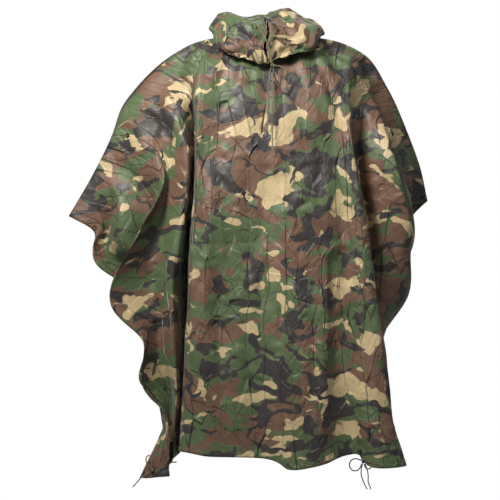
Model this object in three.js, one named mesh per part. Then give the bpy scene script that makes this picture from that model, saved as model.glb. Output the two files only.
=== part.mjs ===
// A hooded rain poncho of thin nylon, worn: two panels hung from the shoulders, a hood drawn shut, cords and eyelets.
// Millimetres, +X to the wearer's left, +Y to the back, +Z up. The origin is on the centre line at the neck's base.
import * as THREE from "three";

// The cut
const HALF_WIDTH = 725;
const NECK_CLOTH = 130;
const WALL = 2;
const SEAM_GAP = 0.3;
const HOOD_SEAM_LIFT = 1;
const SEAM_STEP_OUT = 0.2;

// The neck hole, an oval that dips in front
const NECK_HALF_WIDTH = 119;
const NECK_FRONT = 92;
const NECK_BACK = 84;
const NECK_SIDE_HEIGHT = 15;
const NECK_FRONT_DIP = 66;
const NECK_BACK_DIP = 6;

// How finely the panels are divided
const NARROW_FOLD = 62;
const NECK_STEP = 22;
const WIDE_FOLD_STEPS = 3;
const NARROW_FOLD_STEPS = 2;
const PANEL_ROWS = 21;
const ROW_CROWDING = 1.15;
const HOOD_ROWS = 16;

// Hardware
const CORD_RADIUS = 1.5;
const CORD_SIDES = 8;
const CORD_STEP = 8;
const CORD_LEAST_STEPS = 4;
const KNOT_SIDES = 12;
const KNOT_ROWS = 8;
const EYELET = { outer: 6, inner: 3, thick: 1.6, sides: 14 };
const SNAP = { outer: 6.5, inner: 2, thick: 3, sides: 14 };
const FITTING_LIFT = 0.4;
const FACING = 0.2;
const SEAT_SHARES = [0.25, 0.5, 0.75];

// The line over the shoulders and arms where the two panels meet; cloth is the distance along it from the centre.
const RIDGE = [
  { cloth: -725, x: -503, y: 10, z: -439 },
  { cloth: -625, x: -448, y: 10, z: -345 },
  { cloth: -500, x: -392, y: 8, z: -231 },
  { cloth: -430, x: -367, y: 5, z: -162 },
  { cloth: -380, x: -338, y: 3, z: -122 },
  { cloth: -275, x: -258, y: 0, z: -44 },
  { cloth: -195, x: -184, y: 0, z: -1 },
  { cloth: -130, x: -119, y: 0, z: 15 },
  { cloth: 130, x: 119, y: 0, z: 15 },
  { cloth: 205, x: 192, y: 2, z: -1 },
  { cloth: 270, x: 254, y: 8, z: -34 },
  { cloth: 355, x: 305, y: 30, z: -106 },
  { cloth: 500, x: 367, y: 75, z: -232 },
  { cloth: 585, x: 396, y: 112, z: -300 },
  { cloth: 725, x: 425, y: 180, z: -396 },
];

// Each fold line hangs from the ridge at its own place in the cloth, given at these shares of its drop.
const LEVELS = [0.05, 0.12, 0.3, 0.5, 0.63, 0.8, 1];
const FRONT_FOLDS = [
  { fold: "left edge", cloth: -725, hemZ: -1095,
    x: [-444, -438, -390, -302, -287, -264, -318], y: [4, 2, 0, -12, -22, -38, -62] },
  { fold: "wing hollow", cloth: -685, hemZ: -1095,
    x: [-420, -402, -362, -290, -276, -259, -298], y: [0, 18, 12, -8, -12, -44, -66] },
  { fold: "wing crest", cloth: -625, hemZ: -1092,
    x: [-387, -370, -357, -292, -277, -253, -272], y: [-32, -50, -48, -48, -48, -54, -69] },
  { fold: "behind drape", cloth: -575, hemZ: -1090,
    x: [-347, -302, -317, -285, -268, -245, -245], y: [-24, -36, -22, -20, -26, -50, -66] },
  { fold: "drape crest", cloth: -500, hemZ: -1088,
    x: [-317, -267, -322, -387, -305, -258, -262], y: [-55, -88, -108, -105, -92, -40, -38] },
  { fold: "drape hollow", cloth: -445, hemZ: -1062,
    x: [-292, -257, -272, -292, -272, -244, -242], y: [-50, -70, -60, -58, -52, -22, -12] },
  { fold: "column crest", cloth: -395, hemZ: -1055,
    x: [-260, -235, -237, -242, -240, -232, -238], y: [-70, -98, -108, -105, -98, -62, -22] },
  { fold: "deep hollow", cloth: -305, hemZ: -1040,
    x: [-215, -205, -207, -210, -212, -217, -222], y: [-42, -46, -24, -14, -10, 2, 14] },
  { fold: "left front crest", cloth: -200, hemZ: -1022,
    x: [-180, -185, -188, -192, -196, -202, -212], y: [-58, -100, -130, -138, -137, -132, -125] },
  { fold: "left neck", cloth: -130, hemZ: -1032,
    x: [-132, -137, -141, -143, -143, -143, -143], y: [-72, -112, -136, -144, -145, -142, -134] },
  { fold: "centre", cloth: 0, hemZ: -1039,
    x: [0, 0, 0, 0, 0, 0, 0], y: [-110, -126, -142, -150, -153, -153, -150] },
  { fold: "hem wave", cloth: 60, hemZ: -1061,
    x: [52, 54, 56, 56, 56, 54, 52], y: [-104, -126, -144, -152, -157, -164, -174] },
  { fold: "right neck", cloth: 130, hemZ: -1055,
    x: [128, 126, 124, 122, 121, 117, 112], y: [-72, -112, -138, -147, -151, -157, -166] },
  { fold: "hem hollow", cloth: 190, hemZ: -1029,
    x: [168, 172, 178, 188, 193, 202, 218], y: [-60, -99, -126, -130, -129, -124, -116] },
  { fold: "hem corner wave", cloth: 220, hemZ: -1059,
    x: [190, 191, 203, 222, 235, 248, 264], y: [-62, -101, -129, -134, -137, -142, -146] },
  { fold: "right front crest", cloth: 245, hemZ: -1056,
    x: [211, 208, 221, 250, 271, 298, 341], y: [-62, -96, -125, -130, -132, -134, -135] },
  { fold: "underarm hollow", cloth: 325, hemZ: -1046,
    x: [238, 220, 235, 255, 261, 281, 312], y: [-34, -50, -52, -56, -58, -62, -72] },
  { fold: "right wing front", cloth: 385, hemZ: -1036,
    x: [270, 268, 282, 297, 290, 272, 282], y: [-40, -74, -84, -70, -56, -30, -22] },
  { fold: "right wing crest", cloth: 440, hemZ: -1030,
    x: [303, 319, 360, 349, 305, 265, 270], y: [-44, -86, -82, -42, -18, 6, 18] },
  { fold: "right wing side", cloth: 520, hemZ: -1030,
    x: [344, 354, 378, 362, 298, 277, 282], y: [-8, -14, 6, 10, 26, 50, 58] },
  { fold: "right wing back", cloth: 600, hemZ: -1027,
    x: [380, 370, 347, 332, 290, 284, 294], y: [64, 58, 54, 60, 72, 84, 92] },
  { fold: "right edge", cloth: 725, hemZ: -1025,
    x: [352, 336, 325, 302, 290, 290, 302], y: [132, 114, 100, 100, 106, 116, 124] },
];
const BACK_FOLDS = [
  { fold: "left edge", cloth: -725, hemZ: -1018,
    x: [-430, -412, -348, -284, -268, -256, -252], y: [30, 44, 50, 60, 62, 60, 58] },
  { fold: "wing crest", cloth: -685, hemZ: -1018,
    x: [-410, -398, -340, -280, -262, -250, -246], y: [60, 88, 110, 128, 134, 136, 138] },
  { fold: "wing back", cloth: -625, hemZ: -1019,
    x: [-388, -372, -328, -268, -244, -232, -226], y: [74, 104, 132, 140, 146, 150, 152] },
  { fold: "wing hollow", cloth: -575, hemZ: -1020,
    x: [-358, -334, -300, -254, -238, -222, -214], y: [44, 54, 56, 60, 62, 64, 66] },
  { fold: "side crest", cloth: -500, hemZ: -1020,
    x: [-325, -300, -282, -250, -226, -208, -200], y: [58, 86, 124, 146, 154, 156, 158] },
  { fold: "side fold", cloth: -445, hemZ: -1022,
    x: [-300, -268, -242, -222, -214, -204, -196], y: [62, 92, 136, 156, 160, 160, 158] },
  { fold: "side hollow", cloth: -395, hemZ: -1022,
    x: [-270, -242, -224, -206, -200, -192, -184], y: [40, 58, 70, 66, 62, 58, 56] },
  { fold: "under blade", cloth: -305, hemZ: -1022,
    x: [-228, -208, -190, -176, -172, -168, -166], y: [48, 76, 92, 92, 92, 94, 96] },
  { fold: "left blade", cloth: -200, hemZ: -1024,
    x: [-170, -158, -150, -148, -148, -148, -150], y: [54, 90, 126, 146, 154, 160, 164] },
  { fold: "left neck", cloth: -130, hemZ: -1025,
    x: [-124, -114, -106, -98, -96, -96, -98], y: [64, 98, 124, 126, 122, 116, 112] },
  { fold: "centre", cloth: 0, hemZ: -1026,
    x: [0, 0, 0, -4, -6, -8, -10], y: [100, 114, 128, 138, 144, 152, 160] },
  { fold: "low crest", cloth: 60, hemZ: -1028,
    x: [53, 51, 50, 44, 42, 40, 38], y: [94, 110, 124, 126, 124, 122, 120] },
  { fold: "right neck", cloth: 130, hemZ: -1028,
    x: [122, 112, 104, 98, 96, 96, 98], y: [64, 98, 126, 142, 150, 158, 164] },
  { fold: "right blade", cloth: 190, hemZ: -1028,
    x: [164, 152, 143, 138, 138, 140, 142], y: [58, 92, 124, 140, 146, 150, 152] },
  { fold: "blade side", cloth: 220, hemZ: -1028,
    x: [188, 173, 162, 158, 160, 164, 168], y: [56, 86, 112, 116, 112, 106, 102] },
  { fold: "under blade", cloth: 245, hemZ: -1027,
    x: [208, 193, 181, 176, 178, 184, 190], y: [60, 82, 96, 92, 86, 80, 78] },
  { fold: "side crest", cloth: 325, hemZ: -1026,
    x: [260, 240, 220, 206, 206, 212, 218], y: [86, 120, 162, 182, 188, 190, 190] },
  { fold: "side hollow", cloth: 385, hemZ: -1024,
    x: [289, 268, 252, 240, 236, 238, 244], y: [84, 104, 118, 122, 122, 122, 122] },
  { fold: "side fold", cloth: 440, hemZ: -1022,
    x: [314, 297, 280, 264, 258, 258, 264], y: [118, 152, 184, 204, 208, 208, 206] },
  { fold: "wing back", cloth: 520, hemZ: -1020,
    x: [347, 332, 305, 288, 280, 278, 282], y: [128, 148, 160, 158, 158, 160, 160] },
  { fold: "wing crest", cloth: 600, hemZ: -1018,
    x: [378, 362, 330, 306, 294, 290, 296], y: [172, 206, 226, 228, 226, 224, 222] },
  { fold: "right edge", cloth: 725, hemZ: -1016,
    x: [394, 366, 334, 308, 298, 296, 302], y: [210, 200, 184, 176, 170, 168, 168] },
];

// Where the hanging cloth bags out or nips in; wide is measured in the cloth, tall is a share of the drop.
const FRONT_BAGS = [
  { bag: "sleeve bag", cloth: -700, drop: 0.17, wide: 70, tall: 0.05, x: -12, y: -6 },
  { bag: "sleeve nip", cloth: -690, drop: 0.265, wide: 90, tall: 0.045, x: 36, y: 14 },
  { bag: "drape nip", cloth: -500, drop: 0.585, wide: 70, tall: 0.045, x: 15, y: 0 },
  { bag: "lower bag", cloth: -565, drop: 0.71, wide: 90, tall: 0.06, x: -58, y: -8 },
  { bag: "wing hem", cloth: 650, drop: 0.045, wide: 60, tall: 0.03, x: -16, y: 0 },
  { bag: "elbow nip", cloth: 530, drop: 0.4, wide: 90, tall: 0.06, x: -20, y: 0 },
  { bag: "corner nip", cloth: 250, drop: 0.9, wide: 60, tall: 0.06, x: -9, y: 0 },
];

// The hood lies empty: each row is one section, from the neck seam out over the lip, up the face and in to the
// crown seam. Its angle is taken round the neck from the front.
const HOOD_LEVELS = [0.12, 0.3, 0.5, 0.72, 0.87, 1];
const HOOD_LEFT = [
  { angle: 0, x: [-2, -5, -9, -8, -4, 0], y: [-110, -128, -134, -112, -86, -64], z: [-54, -66, -20, 30, 52, 62] },
  { angle: 45, x: [-90, -104, -106, -78, -40, 0], y: [-80, -100, -96, -66, -48, -34],
    z: [-20, -36, 10, 56, 56, 68] },
  { angle: 90, x: [-130, -146, -130, -92, -46, 0], y: [0, -4, 0, 6, 6, 6], z: [22, 34, 60, 78, 56, 73] },
  { angle: 135, x: [-92, -108, -104, -70, -36, 0], y: [72, 92, 92, 68, 52, 38], z: [16, 10, 38, 64, 56, 71] },
  { angle: 180, x: [0, 0, 0, 0, 0, 0], y: [98, 130, 138, 114, 90, 66], z: [4, -10, 20, 52, 62, 68] },
];
const HOOD_RIGHT = [
  { angle: 0, x: [2, 5, 9, 8, 4, 0], y: [-110, -128, -134, -112, -86, -64], z: [-54, -66, -20, 30, 52, 62] },
  { angle: 45, x: [90, 102, 108, 84, 42, 0], y: [-80, -102, -96, -68, -48, -34], z: [-20, -30, 4, 46, 70, 68] },
  { angle: 90, x: [130, 143, 132, 100, 48, 0], y: [0, -4, 2, 8, 8, 6], z: [22, 22, 42, 64, 87, 73] },
  { angle: 135, x: [92, 108, 104, 72, 36, 0], y: [72, 92, 92, 70, 54, 38], z: [16, 10, 32, 58, 76, 71] },
  { angle: 180, x: [0, 0, 0, 0, 0, 0], y: [98, 130, 138, 114, 90, 66], z: [4, -10, 20, 52, 62, 68] },
];

const mix = (a, b, share) => a + (b - a) * share;
const point = (row) => new THREE.Vector3(row.x, row.y, row.z);

// The smooth curve through numbers set at rising knots.
function through(knots, values, at) {
  const last = knots.length - 1;
  const pace = (i) => (values[i + 1] - values[i]) / (knots[i + 1] - knots[i]);
  const slope = (i) => {
    if (i === 0) return pace(0);
    if (i === last) return pace(last - 1);
    const before = knots[i] - knots[i - 1];
    const after = knots[i + 1] - knots[i];
    return (pace(i - 1) * after + pace(i) * before) / (before + after);
  };
  let i = 0;
  while (i < last - 1 && at > knots[i + 1]) i += 1;
  const span = knots[i + 1] - knots[i];
  const s = (at - knots[i]) / span;
  const rise = s * s * (3 - 2 * s);
  return (
    mix(values[i], values[i + 1], rise) +
    span * (slope(i) * s * (1 - s) * (1 - s) - slope(i + 1) * s * s * (1 - s))
  );
}

function vectorThrough(knots, points, at) {
  const axis = (name) => through(knots, points.map((p) => p[name]), at);
  return new THREE.Vector3(axis("x"), axis("y"), axis("z"));
}

// The oval of the neck hole, angle 0 at the front, positive to +X.
function neckPoint(angle) {
  const ahead = Math.cos(angle);
  const depth = ahead > 0 ? NECK_FRONT : NECK_BACK;
  const dip = ahead > 0 ? NECK_FRONT_DIP : NECK_BACK_DIP;
  return new THREE.Vector3(
    NECK_HALF_WIDTH * Math.sin(angle),
    -depth * ahead,
    NECK_SIDE_HEIGHT - dip * ahead * ahead,
  );
}

const RIDGE_LEFT = RIDGE.filter((row) => row.cloth < 0);
const RIDGE_RIGHT = RIDGE.filter((row) => row.cloth > 0);

function ridgePoint(cloth) {
  const rows = cloth < 0 ? RIDGE_LEFT : RIDGE_RIGHT;
  return vectorThrough(rows.map((row) => row.cloth), rows.map(point), cloth);
}

// The top edge of a panel: the ridge, and between the neck points its half of the neck hole.
// face is -1 on the front panel and 1 on the back.
function topPoint(cloth, face) {
  if (Math.abs(cloth) >= NECK_CLOTH) return ridgePoint(cloth);
  const turn = (cloth / NECK_CLOTH) * (Math.PI / 2);
  return neckPoint(face < 0 ? turn : Math.PI - turn);
}

// Across the ridge, square to it and to the vertical plane it climbs in.
function ridgeNormal(cloth) {
  const step = 1;
  const inner = cloth < 0 ? Math.min(cloth + step, -NECK_CLOTH) : Math.max(cloth - step, NECK_CLOTH);
  const outer = Math.sign(cloth) * Math.min(Math.abs(cloth) + step, HALF_WIDTH);
  const along = ridgePoint(outer).sub(ridgePoint(inner)).normalize();
  const up = new THREE.Vector3(0, 0, 1);
  return up.addScaledVector(along, -along.z).normalize();
}

function ridgeAcross(cloth) {
  const normal = ridgeNormal(cloth);
  const across = new THREE.Vector3(0, 1, 0);
  return across.addScaledVector(normal, -across.dot(normal)).normalize();
}

// One panel as a function of its place in the cloth and its share of the drop.
function panelForm(folds, bags, face) {
  const places = folds.map((row) => row.cloth);
  const knots = [0, ...LEVELS];
  const lines = folds.map((row) => {
    const top = topPoint(row.cloth, face);
    return {
      x: [top.x, ...row.x],
      y: [top.y, ...row.y],
      z: knots.map((level) => mix(top.z, row.hemZ, level)),
    };
  });
  const order = folds.map((_, i) => i);
  const net = (cloth, drop) => {
    let i = 0;
    while (i < places.length - 2 && cloth > places[i + 1]) i += 1;
    const at = i + (cloth - places[i]) / (places[i + 1] - places[i]);
    const near = order.slice(Math.max(0, i - 1), i + 3);
    const axis = (name) => through(near, near.map((k) => through(knots, lines[k][name], drop)), at);
    return new THREE.Vector3(axis("x"), axis("y"), axis("z"));
  };
  return (cloth, drop) => {
    const made = net(cloth, drop);
    const hold = Math.max(0, 1 - drop / LEVELS[1]) ** 2;
    if (hold > 0) made.addScaledVector(topPoint(cloth, face).sub(net(cloth, 0)), hold);
    for (const bag of bags) {
      const reach = ((cloth - bag.cloth) / bag.wide) ** 2 + ((drop - bag.drop) / bag.tall) ** 2;
      const share = Math.exp(-reach);
      made.x += bag.x * share;
      made.y += bag.y * share;
    }
    return made;
  };
}

const frontForm = panelForm(FRONT_FOLDS, FRONT_BAGS, -1);
const backForm = panelForm(BACK_FOLDS, [], 1);

// The places across the cloth where both panels are divided, alike so that they meet along the ridge.
const ACROSS = FRONT_FOLDS.slice(1).flatMap((row, i) => {
  const from = FRONT_FOLDS[i].cloth;
  const width = row.cloth - from;
  const usual = width < NARROW_FOLD ? NARROW_FOLD_STEPS : WIDE_FOLD_STEPS;
  const steps = row.cloth <= NECK_CLOTH && from >= -NECK_CLOTH ? Math.round(width / NECK_STEP) : usual;
  return Array.from({ length: steps }, (_, k) => mix(from, row.cloth, k / steps));
});
ACROSS.push(HALF_WIDTH);

const DOWN = Array.from({ length: PANEL_ROWS + 1 }, (_, k) => (k / PANEL_ROWS) ** ROW_CROWDING);

// Outward normals of a grid of points, from its neighbours.
function gridNormals(grid, turn) {
  const rows = grid.length;
  const columns = grid[0].length;
  return grid.map((row, j) =>
    row.map((_, i) => {
      const along = row[Math.min(i + 1, columns - 1)].clone().sub(row[Math.max(i - 1, 0)]);
      const down = grid[Math.min(j + 1, rows - 1)][i].clone().sub(grid[Math.max(j - 1, 0)][i]);
      return along.cross(down).normalize().multiplyScalar(turn);
    }),
  );
}

// A closed wall between a grid of outer points and the same grid set in by the wall's thickness.
function wall(outer, normals, turn) {
  const rows = outer.length;
  const columns = outer[0].length;
  const inner = outer.map((row, j) => row.map((p, i) => p.clone().addScaledVector(normals[j][i], -WALL)));
  const positions = [...outer.flat(), ...inner.flat()].flatMap((p) => [p.x, p.y, p.z]);
  const layer = rows * columns;
  const index = [];
  const quad = (a, b, c, d) => {
    if (turn > 0) index.push(a, b, c, a, c, d);
    else index.push(a, c, b, a, d, c);
  };
  const at = (j, i) => j * columns + i;
  for (let j = 0; j < rows - 1; j += 1) {
    for (let i = 0; i < columns - 1; i += 1) {
      const [a, b, c, d] = [at(j, i), at(j, i + 1), at(j + 1, i + 1), at(j + 1, i)];
      quad(a, b, c, d);
      quad(a + layer, d + layer, c + layer, b + layer);
    }
  }
  const rim = [];
  for (let i = 0; i < columns - 1; i += 1) rim.push(at(0, i));
  for (let j = 0; j < rows - 1; j += 1) rim.push(at(j, columns - 1));
  for (let i = columns - 1; i > 0; i -= 1) rim.push(at(rows - 1, i));
  for (let j = rows - 1; j > 0; j -= 1) rim.push(at(j, 0));
  rim.forEach((a, k) => {
    const b = rim[(k + 1) % rim.length];
    quad(b, a, a + layer, b + layer);
  });
  const geometry = new THREE.BufferGeometry();
  geometry.setAttribute("position", new THREE.Float32BufferAttribute(positions, 3));
  geometry.setIndex(index);
  return geometry;
}

// A panel's grid; along the ridge its end face stands square, half the seam gap from the other panel's.
function panelGrid(form, face) {
  const outer = DOWN.map((drop) => ACROSS.map((cloth) => form(cloth, drop)));
  const normals = gridNormals(outer, face);
  ACROSS.forEach((cloth, i) => {
    if (Math.abs(cloth) < NECK_CLOTH) return;
    normals[0][i] = ridgeNormal(cloth);
    outer[0][i].addScaledVector(ridgeAcross(cloth), (face * SEAM_GAP) / 2);
  });
  return { outer, normals };
}

const front = panelGrid(frontForm, -1);
const back = panelGrid(backForm, 1);

const cloth = (colour) =>
  new THREE.MeshStandardMaterial({ color: colour, roughness: 0.45, metalness: 0, side: THREE.DoubleSide });
const CLOTH_GREEN = cloth(0x4f6a4c);
const CLOTH_BROWN = cloth(0x6c5548);
const CORD_OLIVE = new THREE.MeshStandardMaterial({ color: 0x6e6b52, roughness: 0.8, metalness: 0 });
const CORD_BLACK = new THREE.MeshStandardMaterial({ color: 0x1c1b1a, roughness: 0.7, metalness: 0 });
const BRASS_DARK = new THREE.MeshStandardMaterial({ color: 0x3d3b33, roughness: 0.4, metalness: 0.8 });

const poncho = new THREE.Group();
poncho.name = "rain_poncho";

function add(name, geometry, material) {
  const mesh = new THREE.Mesh(geometry, material);
  mesh.name = name;
  poncho.add(mesh);
  return mesh;
}

add("front_panel", wall(front.outer, front.normals, -1), CLOTH_GREEN);
add("back_panel", wall(back.outer, back.normals, 1), CLOTH_BROWN);

// The samples of the neck seam from the front centre round one side to the back centre.
function seamAngles(side) {
  const onSide = ACROSS.filter((place) => place * side >= 0 && Math.abs(place) <= NECK_CLOTH);
  const half = onSide.map(Math.abs).sort((a, b) => a - b);
  const ahead = half.map((c) => (c / NECK_CLOTH) * (Math.PI / 2));
  const behind = ahead.slice(0, -1).reverse().map((turn) => Math.PI - turn);
  return [...ahead, ...behind];
}

// The panel's surface normal at the neck seam, and the way along the panel from the neck.
function rimFrame(angle, side) {
  const face = angle < Math.PI / 2 ? -1 : 1;
  const form = face < 0 ? frontForm : backForm;
  const turn = face < 0 ? angle : Math.PI - angle;
  const place = side * (turn / (Math.PI / 2)) * NECK_CLOTH;
  const radial = new THREE.Vector3(side * Math.sin(angle), -Math.cos(angle), 0);
  if (Math.abs(turn - Math.PI / 2) < 1e-6) {
    const normal = ridgeNormal(side * NECK_CLOTH);
    return { normal, out: radial.addScaledVector(normal, -radial.dot(normal)).normalize() };
  }
  const along = form(place + 1, 0).sub(form(place - 1, 0));
  const down = form(place, DOWN[1]).sub(form(place, 0));
  const normal = along.cross(down).normalize().multiplyScalar(face);
  return { normal, out: radial.addScaledVector(normal, -radial.dot(normal)).normalize() };
}

// One half of the hood; both halves stop half a gap from the centre plane.
function hoodHalf(rows, side) {
  const turns = rows.map((row) => (row.angle * Math.PI) / 180);
  const knots = [0, ...HOOD_LEVELS];
  const angles = seamAngles(side);
  const frames = angles.map((angle) => rimFrame(angle, side));
  const section = (angle, frame) => {
    const base = neckPoint(side * angle)
      .addScaledVector(frame.out, SEAM_STEP_OUT + WALL)
      .addScaledVector(frame.normal, HOOD_SEAM_LIFT);
    const stations = HOOD_LEVELS.map((_, k) => {
      const axis = (name) => through(turns, rows.map((row) => row[name][k]), angle);
      return new THREE.Vector3(axis("x"), axis("y"), axis("z"));
    });
    return [base, ...stations];
  };
  const sections = angles.map((angle, i) => section(angle, frames[i]));
  const shares = Array.from({ length: HOOD_ROWS + 1 }, (_, k) => k / HOOD_ROWS);
  const outer = shares.map((share) => sections.map((stations) => vectorThrough(knots, stations, share)));
  outer.flat().forEach((p) => {
    p.x = side * Math.max(Math.abs(p.x), SEAM_GAP / 2);
  });
  const normals = gridNormals(outer, side);
  normals[0] = frames.map((frame) => frame.out);
  const flatten = (n) => n.setX(0).normalize();
  normals.forEach((row) => {
    flatten(row[0]);
    flatten(row[row.length - 1]);
  });
  normals[HOOD_ROWS].forEach(flatten);
  return { outer, normals };
}

const hoodLeft = hoodHalf(HOOD_LEFT, -1);
const hoodRight = hoodHalf(HOOD_RIGHT, 1);
add("hood_left", wall(hoodLeft.outer, hoodLeft.normals, -1), CLOTH_GREEN);
add("hood_right", wall(hoodRight.outer, hoodRight.normals, 1), CLOTH_BROWN);

// The place on a grid's flats nearest to a place seen from the front or the back, where a fitting is clamped.
function seat(grid, turn, x, z, face) {
  let best = null;
  for (let j = 0; j < grid.length - 1; j += 1) {
    for (let i = 0; i < grid[0].length - 1; i += 1) {
      const [a, b, c, d] = [grid[j][i], grid[j][i + 1], grid[j + 1][i + 1], grid[j + 1][i]];
      const normal = c.clone().sub(a).cross(d.clone().sub(b)).normalize().multiplyScalar(turn);
      if (normal.y * face < FACING) continue;
      for (const share of SEAT_SHARES) {
        const centre = a.clone().lerp(b, 0.5).lerp(d.clone().lerp(c, 0.5), share);
        const miss = Math.hypot(centre.x - x, centre.z - z);
        if (!best || miss < best.miss) best = { centre, normal, miss };
      }
    }
  }
  return best;
}

// A closed ring about +Z, its foot at the origin.
function ring(size) {
  const { outer, inner, thick, sides } = size;
  const round = thick / 3;
  const profile = [
    [inner, 0], [outer, 0], [outer, thick - round], [outer - round, thick], [inner + round, thick],
    [inner, thick - round], [inner, 0],
  ].map(([r, h]) => new THREE.Vector2(r, h));
  return new THREE.LatheGeometry(profile, sides).rotateX(Math.PI / 2);
}

function fit(name, geometry, place, lift, material) {
  const mesh = add(name, geometry, material);
  mesh.position.copy(place.centre).addScaledVector(place.normal, lift);
  mesh.quaternion.setFromUnitVectors(new THREE.Vector3(0, 0, 1), place.normal);
  return mesh;
}

const FITTINGS = [
  { name: "hood_eyelet_left", on: hoodLeft, turn: -1, face: -1, x: -21, z: 26, size: EYELET },
  { name: "hood_eyelet_right", on: hoodRight, turn: 1, face: -1, x: 29, z: 22, size: EYELET },
  { name: "arm_snap_left", on: front, turn: -1, face: -1, x: -352, z: -225, size: SNAP },
  { name: "arm_snap_right", on: front, turn: -1, face: -1, x: 305, z: -232, size: SNAP },
  { name: "wing_eyelet_left", on: front, turn: -1, face: -1, x: -436, z: -465, size: EYELET },
  { name: "wing_eyelet_right", on: front, turn: -1, face: -1, x: 400, z: -378, size: EYELET },
  { name: "corner_eyelet_front_left", on: front, turn: -1, face: -1, x: -286, z: -1075, size: EYELET },
  { name: "corner_eyelet_front_right", on: front, turn: -1, face: -1, x: 235, z: -1025, size: EYELET },
  { name: "corner_eyelet_back_left", on: back, turn: 1, face: 1, x: -246, z: -998, size: EYELET },
  { name: "corner_eyelet_back_right", on: back, turn: 1, face: 1, x: 296, z: -998, size: EYELET },
];
for (const { name, on, turn, face, x, z, size } of FITTINGS) {
  fit(name, ring(size), seat(on.outer, turn, x, z, face), FITTING_LIFT, BRASS_DARK);
}

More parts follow.
